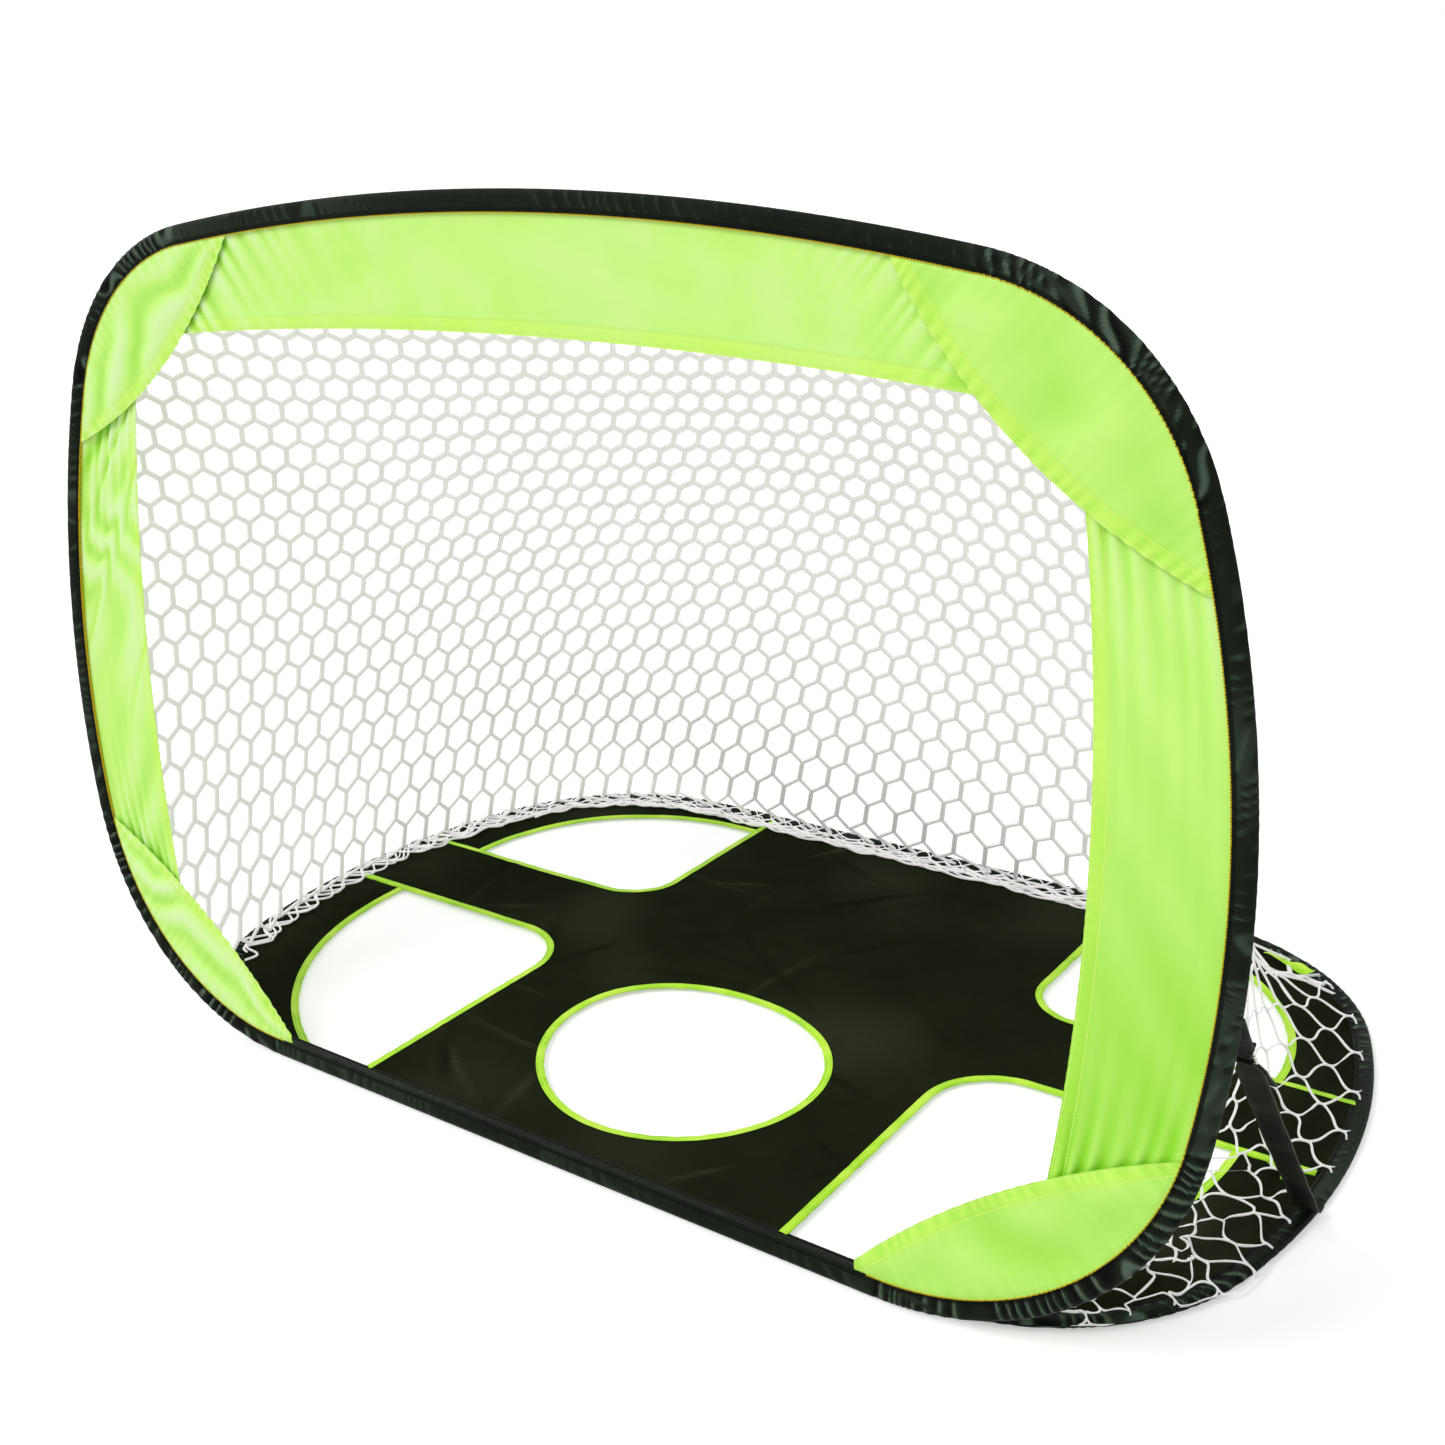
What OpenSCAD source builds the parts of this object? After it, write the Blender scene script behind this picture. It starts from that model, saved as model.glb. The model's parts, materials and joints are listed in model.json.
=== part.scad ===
// Pop-up play goal. An upright spring hoop carries fabric bands round the mouth. Its foot
// is sewn to a second spring hoop that lies on the ground and holds a sheet with five
// target holes. A net closes the back and sides, and a webbing strap holds the angle.
// Millimetres, +Z up, +Y to the rear, origin on the ground in the middle of the goal line.

/* [Front hoop] */
// Straight length along the goal line
front_straight = 690; // [670:10:710]
// Outer radius of each lower corner
front_low_r = 255; // [245:5:265]
// Angle turned by each lower corner
front_low_turn = 80.5; // [80:0.5:81]
// Outer radius of each bowed side
front_side_r = 945; // [920:5:970]
// Angle turned by each side
front_side_turn = 27; // [26.5:0.5:27.5]
// Outer radius of each upper corner
front_high_r = 217; // [211:2:223]
// Angle turned by each upper corner
front_high_turn = 63; // [62.5:0.5:63.5]
// Backward lean of the hoop at rest
front_lean = 2.5; // [2:0.5:3]

/* [Ground hoop] */
// Straight length along the goal line
ground_straight = 720; // [710:10:730]
// Outer radius of each front corner
ground_front_r = 230; // [225:5:235]
// Angle turned by each front corner
ground_front_turn = 75; // [74.5:0.5:75.5]
// Outer radius of each bowed side
ground_side_r = 700; // [690:5:710]
// Angle turned by each side
ground_side_turn = 36; // [35.5:0.5:36.5]
// Outer radius of each rear corner
ground_rear_r = 250; // [245:5:255]
// Angle turned by each rear corner
ground_rear_turn = 68; // [67:0.5:68]

/* [Sleeves and wire] */
// Width of a sleeve in the plane of its hoop
sleeve_w = 18; // [17:0.5:19]
// Thickness of a sleeve
sleeve_t = 9; // [9:0.5:10]
// Diameter of the spring wire
wire_d = 3.8; // [3:0.2:4]
// Length of the crimped ferrule that joins the wire's ends
ferrule_l = 40; // [30:5:60]
// Thickness of the cloth pieces
cloth_t = 1.2; // [1:0.1:1.2]

/* [Front panels] */
// Height of the mouth's top edge on the centreline
mouth_h = 726; // [722:2:730]
// Half the mouth's width at its widest
mouth_half_w = 495; // [490:1:500]
// Height at which the mouth is widest
mouth_wide_h = 380; // [370:5:390]
// Radius of the top band's lower edge
top_edge_r = 4300; // [4000:100:4600]
// Radius of the side bands' inner edge
side_edge_r = 1730; // [1600:10:1860]
// How far the upper corner panels' hem bows into the mouth
high_hem_bow = 25; // [20:1:30]
// How far the lower corner panels' hem bows into the mouth
low_hem_bow = 17; // [12:1:22]
// Depth of the gathers at the ends of the side bands
gather_depth = 4; // [2:0.5:4.5]
// Gathers across the end of a side band
gather_count = 4; // [3:1:5]

/* [Target sheet] */
// Half the width of the sheet's centre panel
panel_half_w = 240; // [236:1:244]
// Distance of the cross band's front edge from the goal line
band_front = 343; // [339:1:347]
// Distance of the cross band's rear edge from the goal line
band_rear = 466; // [462:1:470]
// Distance of the round hole's centre from the goal line
round_hole_y = 200; // [196:1:206]
// Radius of the round hole in the cloth
round_hole_r = 151; // [145:1:153]
// Radius where the cross band meets the centre panel, at the front
front_inner_r = 75; // [70:1:80]
// Radius where the cross band meets the centre panel, at the rear
rear_inner_r = 62; // [58:1:66]
// Width of the binding that shows inside a hole
binding_w = 7; // [6:0.5:8]

/* [Net] */
// Columns of meshes along the hoops
net_cols = 18; // [12:1:18]
// Rows of meshes from the front hoop to the ground hoop
net_rows = 12; // [8:2:12]
// Share of a mesh taken by its strands
net_strand_share = 0.05; // [0.03:0.01:0.08]
// Thickness of the strands
net_t = 2.4; // [2:0.2:3]
// How far a line of the net drops below its straight run, a third of the way down
net_drop = 60; // [30:5:90]
// How far the net's foot lies in over the sheet, at the left
net_foot_left = 60; // [40:5:90]
// How far the net's foot lies in over the sheet, at the right
net_foot_right = 130; // [90:5:150]

/* [Strap] */
// Width of the webbing
strap_w = 25; // [23:1:26]
// Distance of the strap from the centreline, at the right
strap_x = 596; // [594:1:597]
// Height of the tab's stitch line on the front hoop
tab_h = 318; // [310:1:326]
// Distance of the strap's foot from the goal line
strap_foot_y = 275; // [265:1:290]
// Length of the webbing tab
tab_l = 62; // [58:1:66]

/* [Hidden] */

black = [0.10, 0.11, 0.10];
neon = [0.70, 1.00, 0.38];
neon_binding = [0.62, 0.92, 0.10];
steel = [0.70, 0.71, 0.72];
cord_white = [0.90, 0.90, 0.88];

// A sleeve's section: a step at each face, a pocket for the wire, a slot for the cloth
pocket_w = 6;
pocket_inset = 3;
slot_t = 3.2;
sleeve_step_w = 1.3;
sleeve_step_t = 1.2;
wire_inset = pocket_inset + pocket_w / 2;
cloth_inset = sleeve_w - 4;
layer_gap = 0.2;
big = 3000;
outline_sag = 0.15;
wire_sag = 0.4;
wire_sides = 8;

hinge_gap = 0.6;
hinge_y = -sleeve_w / 2 - hinge_gap;
hinge_z = sleeve_t;
front_set_back = hinge_gap + sleeve_t / 2;

// A hoop's right half is a run of tangent arcs, from the end of the straight on the goal
// line to the far middle. Each arc is [centre, radius, heading at its start, turn].
function arc_centre(p, heading, r) = p + r * [-sin(heading), cos(heading)];
function on_arc(centre, r, heading) = centre + r * [sin(heading), -cos(heading)];
function closing_arc(p, heading) =
    let (turn = 180 - heading, r = p.x / sin(turn))
    [arc_centre(p, heading, r), r, heading, turn];
function hoop_arcs(p, heading, radii, turns, i = 0) =
    i == len(radii) ? [closing_arc(p, heading)] :
    let (c = arc_centre(p, heading, radii[i]))
    concat([[c, radii[i], heading, turns[i]]],
           hoop_arcs(on_arc(c, radii[i], heading + turns[i]), heading + turns[i],
                     radii, turns, i + 1));

front_arcs = hoop_arcs([front_straight / 2, 0], 0,
    [front_low_r, front_side_r, front_high_r],
    [front_low_turn, front_side_turn, front_high_turn]);
ground_arcs = hoop_arcs([ground_straight / 2, 0], 0,
    [ground_front_r, ground_side_r, ground_rear_r],
    [ground_front_turn, ground_side_turn, ground_rear_turn]);

function arc_length(arc) = arc[1] * arc[3] * PI / 180;
function half_length(arcs) = [for (arc = arcs) arc_length(arc)] * [for (arc = arcs) 1];

// Point at a distance along the right half, moved inwards by inset
function along(arcs, distance, inset, i = 0) =
    let (arc = arcs[i], run = arc_length(arc))
    distance <= run || i == len(arcs) - 1
        ? on_arc(arc[0], arc[1] - inset, arc[2] + arc[3] * min(distance / run, 1))
        : along(arcs, distance - run, inset, i + 1);

function arc_steps(arc, sag) = ceil(arc[3] / (2 * acos(1 - sag / arc[1])));
function half_outline(arcs, inset) = [
    for (arc = arcs) let (steps = arc_steps(arc, outline_sag))
        for (k = [0 : steps - 1]) on_arc(arc[0], arc[1] - inset, arc[2] + arc[3] * k / steps)
];
function mirrored(points) = [for (i = [len(points) - 1 : -1 : 0]) [-points[i].x, points[i].y]];

module hoop_area(arcs, inset) {
    half = half_outline(arcs, inset);
    top = arcs[len(arcs) - 1];
    polygon(concat(half, [on_arc(top[0], top[1] - inset, 180)], mirrored(half)));
}

module hoop_band(arcs, inset, width) {
    difference() {
        hoop_area(arcs, inset);
        hoop_area(arcs, inset + width);
    }
}

module slab(height) {
    translate([0, 0, -height / 2]) linear_extrude(height) children();
}

// A flat tube of cloth round a hoop, open along its inner edge where the cloth is sewn in
module sleeve(arcs) {
    difference() {
        union() {
            slab(sleeve_t - 2 * sleeve_step_t) hoop_band(arcs, 0, sleeve_w);
            for (z = [-1, 1]) translate([0, 0, z * (sleeve_t - sleeve_step_t) / 2])
                slab(sleeve_step_t)
                    hoop_band(arcs, sleeve_step_w, sleeve_w - 2 * sleeve_step_w);
        }
        slab(pocket_w) hoop_band(arcs, pocket_inset, pocket_w);
        slab(slot_t) hoop_band(arcs, wire_inset, sleeve_w);
    }
}

// The wire is one length bent round the hoop, its ends meeting in the ferrule.
// Each place along it is [point, heading].
wire_end_gap = 0.5;

module wire(arcs) {
    half = [
        for (arc = arcs) let (steps = arc_steps(arc, wire_sag))
            for (k = [0 : steps - 1]) let (heading = arc[2] + arc[3] * k / steps)
                [on_arc(arc[0], arc[1] - wire_inset, heading), heading]];
    top = arcs[len(arcs) - 1];
    places = concat(
        [[[wire_end_gap, wire_inset], 0]], half,
        [[on_arc(top[0], top[1] - wire_inset, 180), 180]],
        [for (i = [len(half) - 1 : -1 : 0]) [[-half[i][0].x, half[i][0].y], 360 - half[i][1]]],
        [[[-wire_end_gap, wire_inset], 360]]);
    points = [for (place = places) for (k = [0 : wire_sides - 1])
        let (a = 360 * k / wire_sides, out = wire_d / 2 * cos(a))
        [place[0].x + out * sin(place[1]), place[0].y - out * cos(place[1]),
         wire_d / 2 * sin(a)]];
    last = len(places) - 1;
    function id(i, k) = i * wire_sides + k % wire_sides;
    sides = [for (i = [0 : last - 1]) for (k = [0 : wire_sides - 1])
        each [[id(i, k), id(i, k + 1), id(i + 1, k + 1)], [id(i, k), id(i + 1, k + 1), id(i + 1, k)]]];
    ends = [for (k = [1 : wire_sides - 2])
        each [[id(0, 0), id(0, k + 1), id(0, k)], [id(last, 0), id(last, k), id(last, k + 1)]]];
    polyhedron(points, concat(sides, ends));
}

module ferrule() {
    translate([-ferrule_l / 2, wire_inset, 0]) rotate([0, 90, 0]) difference() {
        cylinder(d = pocket_w - 0.4, h = ferrule_l, $fn = 32);
        translate([0, 0, -1]) cylinder(d = wire_d + 0.1, h = ferrule_l + 2, $fn = 32);
    }
}

// Hoop planes: children are drawn with x across, y away from the goal line in the plane,
// and z out of the upper or front face.
module on_ground() {
    translate([0, -sleeve_w / 2, sleeve_t / 2]) children();
}

module upright() {
    translate([0, hinge_y, hinge_z]) rotate([-front_lean, 0, 0])
        translate([0, -front_set_back, -hinge_z]) rotate([90, 0, 0]) children();
}

function upright_point(x, h, z) =
    let (y0 = -z - front_set_back, z0 = h - hinge_z)
    [x, hinge_y + y0 * cos(front_lean) + z0 * sin(front_lean),
     hinge_z - y0 * sin(front_lean) + z0 * cos(front_lean)];
function ground_point(x, y, z) = [x, y - sleeve_w / 2, z + sleeve_t / 2];

module for_side(side) {
    mirror([side < 0 ? 1 : 0, 0, 0]) children();
}

// Layers of cloth: the rear or lower one and the front or upper one
module back_layer() {
    translate([0, 0, -cloth_t - layer_gap]) linear_extrude(cloth_t) children();
}

module front_layer() {
    translate([0, 0, layer_gap]) linear_extrude(cloth_t) children();
}

// ---- Ground hoop ----

module ground_wire() {
    color(steel) on_ground() wire(ground_arcs);
}

module ground_ferrule() {
    color(steel) on_ground() ferrule();
}

module ground_sleeve() {
    color(black) on_ground() sleeve(ground_arcs);
}

// The cloth left of a hole's rounded corner: a quarter plane with its corner rounded off
module rounded_quarter(x, y, r, up) {
    far = up ? 1 : -1;
    difference() {
        translate([x, up ? y : y - big]) square([big, big]);
        difference() {
            translate([x - 1, up ? y - 1 : y - r + 1]) square([r + 1, r]);
            translate([x + r, y + far * r]) circle(r = r, $fn = 96);
        }
    }
}

module front_hole_corner(grow) {
    rounded_quarter(panel_half_w + grow, band_front - grow, front_inner_r - grow, false);
}

module rear_hole_corner(grow) {
    rounded_quarter(panel_half_w + grow, band_rear + grow, rear_inner_r - grow, true);
}

module target_cross() {
    color(black) on_ground() front_layer() difference() {
        hoop_area(ground_arcs, cloth_inset);
        for (side = [0, 1]) mirror([side, 0]) {
            front_hole_corner(0);
            rear_hole_corner(0);
        }
        translate([0, round_hole_y]) circle(r = round_hole_r, $fn = 128);
    }
}

// Outer edges of the corner holes. At the front a line and an arc down to the goal line,
// at the rear a round corner.
corner_front_x = 519;
corner_front_y = 320;
corner_front_r = 345;
corner_rear_x = 513;
corner_rear_y = 713;
corner_rear_r = 235;
overlap_under_band = 30;

module front_hole_area(grow) {
    translate([corner_front_x - corner_front_r, corner_front_y])
        circle(r = corner_front_r - grow, $fn = 128);
    translate([0, corner_front_y]) square([corner_front_x - grow, big]);
    translate([-big, corner_front_y]) square([big + 10, big]);
}

module rear_hole_area(grow) {
    r = corner_rear_r;
    translate([corner_rear_x - r, corner_rear_y - r]) circle(r = r - grow, $fn = 128);
    translate([0, 0]) square([corner_rear_x - grow, corner_rear_y - r]);
    translate([0, 0]) square([corner_rear_x - r, corner_rear_y - grow]);
}

module corner_front(side) {
    color(black) on_ground() for_side(side) back_layer() difference() {
        intersection() {
            hoop_area(ground_arcs, cloth_inset);
            translate([300, -1]) square([big, band_front + overlap_under_band + 1]);
        }
        front_hole_area(0);
    }
}

module corner_rear(side) {
    color(black) on_ground() for_side(side) back_layer() difference() {
        intersection() {
            hoop_area(ground_arcs, cloth_inset);
            translate([panel_half_w - overlap_under_band, band_rear - overlap_under_band])
                square([big, big]);
        }
        rear_hole_area(0);
    }
}

// Bindings lie on the cloth's edge and reach into the hole by binding_w.
binding_t = 0.8;
binding_on_cloth = 1;

module binding_on(layer_top) {
    translate([0, 0, layer_top]) linear_extrude(binding_t) children();
}

upper_top = layer_gap + cloth_t;
lower_top = -layer_gap;

module round_hole_binding() {
    color(neon_binding) on_ground() binding_on(upper_top) translate([0, round_hole_y])
        difference() {
            circle(r = round_hole_r + binding_on_cloth, $fn = 128);
            circle(r = round_hole_r - binding_w, $fn = 128);
        }
}

module cross_binding_front(side) {
    color(neon_binding) on_ground() for_side(side) binding_on(upper_top) intersection() {
        hoop_area(ground_arcs, sleeve_w + 0.3);
        difference() {
            front_hole_corner(-binding_on_cloth);
            front_hole_corner(binding_w);
        }
    }
}

module cross_binding_rear(side) {
    color(neon_binding) on_ground() for_side(side) binding_on(upper_top) intersection() {
        hoop_area(ground_arcs, sleeve_w + 0.3);
        difference() {
            rear_hole_corner(-binding_on_cloth);
            rear_hole_corner(binding_w);
        }
    }
}

module corner_binding_front(side) {
    color(neon_binding) on_ground() for_side(side) binding_on(lower_top)
        intersection() {
            hoop_area(ground_arcs, sleeve_w + 0.3);
            translate([300, 0]) square([big, band_front - 0.5]);
            difference() {
                front_hole_area(-binding_on_cloth);
                front_hole_area(binding_w);
            }
        }
}

module corner_binding_rear(side) {
    color(neon_binding) on_ground() for_side(side) binding_on(lower_top)
        intersection() {
            translate([panel_half_w + 0.5, band_rear + 0.5]) square([big, big]);
            difference() {
                rear_hole_area(-binding_on_cloth);
                rear_hole_area(binding_w);
            }
        }
}

// The sewn fabric hinge stands in the gap between the two sleeves.
module hinge_tape() {
    color(black) translate([-front_straight / 2, hinge_y + 0.15, 1])
        cube([front_straight, 0.3, hinge_z - 1.3]);
}

// ---- Net ----

net_start = 110;
net_front_inset = 31;
net_ground_inset = 31;
net_front_z = -8;
net_ground_z = 5;
zigzag = 1 / 6;

function half_way(u) = 1 - abs(2 * u - 1);
function hoop_at(arcs, u, inset) =
    let (run = net_start + (half_length(arcs) - net_start) * half_way(u),
         p = along(arcs, run, inset))
    [u < 0.5 ? -p.x : p.x, p.y];
function net_top(u) =
    let (p = hoop_at(front_arcs, u, net_front_inset)) upright_point(p.x, p.y, net_front_z);
function net_end(u, inset) =
    let (p = hoop_at(ground_arcs, u, net_ground_inset + inset)) ground_point(p.x, p.y, net_ground_z);
function net_foot(u) =
    net_foot_left + (net_foot_right - net_foot_left) * min(1, max(0, (u - 0.5) / 0.15));

// A line of the net is a cubic curve. It hangs down from the front hoop and comes in flat
// over the sheet to the ground hoop.
function net_point(u, v) =
    let (a = net_top(u), d = net_end(u, 0), reach = norm(d - a),
         b = a + (d - a) / 3 - [0, 0, min(net_drop, 0.15 * reach)],
         c = net_end(u, min(net_foot(u), 0.35 * reach)), w = 1 - v)
    a * pow(w, 3) + b * 3 * w * w * v + c * 3 * w * v * v + d * pow(v, 3);
function net_inward(u, v) =
    let (e = 0.004, u0 = min(max(u, e), 1 - e),
         n = cross(net_point(u0, v + e) - net_point(u0, v - e),
                   net_point(u0 + e, v) - net_point(u0 - e, v)))
    n / norm(n);

last_col = 2 * net_cols;
function has_strand(j, k) = k == 0 || k == last_col || k % 2 == j % 2;
function line_v(j, k) =
    (j + (j > 0 && j < net_rows ? zigzag * (k % 2 == j % 2 ? 1 : -1) : 0)) / net_rows;
function knot(j, k) = net_point(k / last_col, line_v(j, k));
function mesh_centre(j, segment) =
    let (a = has_strand(j, segment) ? segment : segment - 1,
         b = has_strand(j, segment + 1) ? segment + 1 : segment + 2)
    (knot(j, a) + knot(j, b) + knot(j + 1, a) + knot(j + 1, b)) / 4;

// Corner of a mesh: row, 0 top or 1 bottom line, column, 0 left or 1 right mesh, face
function corner_id(j, t, k, right, face) =
    (((j * 2 + t) * (last_col + 1) + k) * 2 + (has_strand(j, k) ? right : 0)) * 2 + face;
rim_start = net_rows * 2 * (last_col + 1) * 4;
function rim_id(j, k, face) = rim_start + (j * (last_col + 1) + k) * 2 + face;
function corner_place(j, t, k, right) =
    let (segment = max(0, min(last_col - 1, right == 1 || k == 0 ? k : k - 1)))
    knot(j + t, k) * (1 - net_strand_share) + mesh_centre(j, segment) * net_strand_share;

function above(j, k, right, face) =
    j == 0 ? rim_id(0, k, face) : corner_id(j - 1, 1, k, right, face);
function below(j, k, right, face) =
    j == net_rows ? rim_id(j, k, face) : corner_id(j, 0, k, right, face);
function left_of(j, t, k, face) =
    k == 0 ? rim_id(j + t, 0, face) : corner_id(j, t, k, 0, face);
function right_of(j, t, k, face) =
    k == last_col ? rim_id(j + t, k, face) : corner_id(j, t, k, 1, face);

function two(a, b, c, d) = [[a, b, c], [a, c, d]];
// Both faces of a four-sided piece of strand, and its two free sides a-b and c-d
function strand_faces(a, b, c, d) = concat(
    two(a[0], b[0], c[0], d[0]), two(d[1], c[1], b[1], a[1]),
    two(b[0], a[0], a[1], b[1]), two(d[0], c[0], c[1], d[1]));
function knot_faces(a, b, c) = [[a[0], b[0], c[0]], [c[1], b[1], a[1]]];
function pair(f) = [f(0), f(1)];

module net() {
    points = concat(
        [for (j = [0 : net_rows - 1]) for (t = [0, 1]) for (k = [0 : last_col])
            for (right = [0, 1])
                let (p = corner_place(j, t, k, right),
                     n = net_inward(k / last_col, line_v(j + t, k)) * net_t / 2)
                each [p + n, p - n]],
        [for (j = [0 : net_rows]) for (k = [0 : last_col])
            let (p = knot(j, k), n = net_inward(k / last_col, line_v(j, k)) * net_t / 2)
            each [p + n, p - n]]);
    along_lines = [for (j = [0 : net_rows]) for (k = [0 : last_col - 1])
        each strand_faces(
            pair(function(s) above(j, k, 1, s)), pair(function(s) above(j, k + 1, 0, s)),
            pair(function(s) below(j, k + 1, 0, s)), pair(function(s) below(j, k, 1, s)))];
    across_lines = [for (j = [0 : net_rows - 1]) for (k = [0 : last_col]) if (has_strand(j, k))
        each strand_faces(
            pair(function(s) right_of(j, 0, k, s)), pair(function(s) right_of(j, 1, k, s)),
            pair(function(s) left_of(j, 1, k, s)), pair(function(s) left_of(j, 0, k, s)))];
    knots = [for (j = [0 : net_rows]) for (k = [0 : last_col])
        let (up = j > 0 && has_strand(j - 1, k), down = j < net_rows && has_strand(j, k),
             side = k == 0 || k == last_col, end = j == 0 || j == net_rows)
        if (!(side && end) && (side || up || down))
        each (k == 0
            ? knot_faces(pair(function(s) rim_id(j, 0, s)), pair(function(s) above(j, 0, 1, s)),
                         pair(function(s) below(j, 0, 1, s)))
            : k == last_col
            ? knot_faces(pair(function(s) above(j, k, 0, s)), pair(function(s) rim_id(j, k, s)),
                         pair(function(s) below(j, k, 0, s)))
            : up
            ? knot_faces(pair(function(s) above(j, k, 0, s)), pair(function(s) above(j, k, 1, s)),
                         pair(function(s) below(j, k, 0, s)))
            : knot_faces(pair(function(s) above(j, k, 0, s)), pair(function(s) below(j, k, 1, s)),
                         pair(function(s) below(j, k, 0, s))))];
    color(cord_white) polyhedron(points, concat(along_lines, across_lines, knots));
}

// Ribbon ties that hold the net's foot to the ground hoop, at the right
tie_gap = 0.1;
tie_on_sheet_z = sleeve_t / 2 - layer_gap + tie_gap;
tie_on_sleeve_z = sleeve_t + tie_gap;

module net_ties() {
    color(neon_binding) {
        translate([452, 667, tie_on_sheet_z]) rotate([0, 0, -12]) translate([-27, -6, 0])
            cube([54, 12, 1]);
        translate([592, 312, tie_on_sleeve_z]) rotate([0, 0, -8]) translate([-5, -8, 0])
            cube([10, 16, 1]);
    }
}

// ---- Strap ----

strap_t = 1.6;
tab_pivot_z = -6.5;
ring_wire_d = 2.5;
ring_l = 13;
eye_w = 12;
ring_w = eye_w + 2 * ring_wire_d + 1;
loop_r = ring_wire_d / 2 + 0.3;
rivet_r = 3;
rivet_shank_r = 1.5;
rivet_head_t = 0.8;
rivet_y = tab_l * 0.66;
taper_l = 18;
strap_foot_l = 20;
tab_pivot = upright_point(strap_x, tab_h, tab_pivot_z);
ring_top = tab_l + loop_r + strap_t;
ring_bar_gap = ring_l - ring_wire_d;
strap_top = ring_top + ring_bar_gap;
strap_foot_z = sleeve_t + 0.3;
strap_drop = tab_pivot.z - strap_foot_z - strap_t;
strap_reach = ground_point(0, strap_foot_y, 0).y - tab_pivot.y;
strap_dip = atan2(strap_drop, strap_reach);
strap_end = norm([strap_drop, strap_reach]);

// Runs along the strap: x across the webbing, y down its length, z out of its upper face
module along_strap() {
    translate(tab_pivot) rotate([-strap_dip, 0, 0]) children();
}

// Webbing from one place to another, folded narrow where it goes into the ring
module webbing(wide_end, narrow_end) {
    taper = narrow_end > wide_end ? -taper_l : taper_l;
    slab(strap_t) polygon([
        [-strap_w / 2, wide_end], [-strap_w / 2, narrow_end + taper], [-eye_w / 2, narrow_end],
        [eye_w / 2, narrow_end], [strap_w / 2, narrow_end + taper], [strap_w / 2, wide_end]]);
}

// A webbing eye round a bar of the ring, open towards the webbing
module webbing_eye(y) {
    translate([-eye_w / 2, y, 0]) rotate([0, 90, 0]) difference() {
        cylinder(r = loop_r + strap_t, h = eye_w, $fn = 48);
        translate([0, 0, -1]) cylinder(r = loop_r, h = eye_w + 2, $fn = 48);
    }
}

module tab() {
    color(black) along_strap() difference() {
        union() {
            webbing(0, ring_top);
            webbing_eye(ring_top);
        }
        translate([-eye_w / 2 - 1, ring_top, 0]) rotate([0, 90, 0])
            cylinder(r = loop_r, h = eye_w + 2, $fn = 48);
        translate([0, rivet_y, -strap_t]) cylinder(r = rivet_shank_r, h = 2 * strap_t, $fn = 32);
    }
}

module rivet() {
    color(steel) along_strap() translate([0, rivet_y, 0]) {
        slab(strap_t + rivet_head_t) circle(r = rivet_shank_r - 0.1, $fn = 32);
        for (z = [-1, 1]) translate([0, 0, z * (strap_t / 2 + 0.1 + rivet_head_t / 2)])
            slab(rivet_head_t) circle(r = rivet_r, $fn = 48);
    }
}

module ring() {
    r = ring_wire_d / 2;
    half_w = ring_w / 2 - r;
    color(steel) along_strap() {
        for (y = [ring_top, strap_top]) translate([-half_w, y, 0]) rotate([0, 90, 0])
            cylinder(r = r, h = 2 * half_w, $fn = 32);
        for (x = [-half_w, half_w]) translate([x, ring_top, 0]) {
            rotate([-90, 0, 0]) cylinder(r = r, h = ring_bar_gap, $fn = 32);
            sphere(r = r, $fn = 32);
            translate([0, ring_bar_gap, 0]) sphere(r = r, $fn = 32);
        }
    }
}

module strap() {
    start = strap_top + loop_r + strap_t * 0.6;
    color(black) {
        along_strap() {
            webbing_eye(strap_top);
            webbing(strap_end, start);
        }
        translate([strap_x - strap_w / 2, tab_pivot.y + strap_reach - strap_t, strap_foot_z])
            cube([strap_w, strap_foot_l, strap_t]);
    }
}

// ---- Front hoop ----

module front_wire() {
    color(steel) upright() wire(front_arcs);
}

module front_ferrule() {
    color(steel) upright() ferrule();
}

module front_sleeve() {
    color(black) upright() sleeve(front_arcs);
}

module top_band() {
    color(neon) upright() back_layer() difference() {
        intersection() {
            hoop_area(front_arcs, cloth_inset);
            translate([-425, 600]) square([850, big]);
        }
        translate([0, mouth_h - top_edge_r]) circle(r = top_edge_r, $fn = 360);
    }
}

// A side band is a gathered strip between the mouth's edge and the sleeve. Its pleats are
// deepest at both ends and run out towards the middle.
band_low_h = 150;
band_high_h = 655;
band_steps = 16;
cross_steps = gather_count * 4;

function side_edge_x(h) =
    mouth_half_w - side_edge_r + sqrt(pow(side_edge_r, 2) - pow(h - mouth_wide_h, 2));
// Distance along the front hoop's right half at which it reaches a height
function run_at_height(h, low, high, tries = 24) =
    let (mid = (low + high) / 2)
    tries == 0 ? mid :
    along(front_arcs, mid, cloth_inset).y < h
        ? run_at_height(h, mid, high, tries - 1) : run_at_height(h, low, mid, tries - 1);
function sleeve_edge_x(h) =
    along(front_arcs, run_at_height(h, 0, half_length(front_arcs) * 0.75), cloth_inset).x;
function gather(along_band, across) =
    gather_depth * pow(abs(2 * along_band - 1), 2.5) * min(1, max(0, 3 * (across - 0.07)))
    * (0.5 - 0.5 * cos(360 * gather_count * across));
function band_point(i, m, face) =
    let (s = i / band_steps, w = m / cross_steps,
         h = band_low_h + (band_high_h - band_low_h) * s,
         outer = sleeve_edge_x(h), inner = side_edge_x(h))
    [outer + (inner - outer) * w, h,
     -layer_gap - (face == 0 ? 0 : cloth_t) - gather(s, w)];

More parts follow.
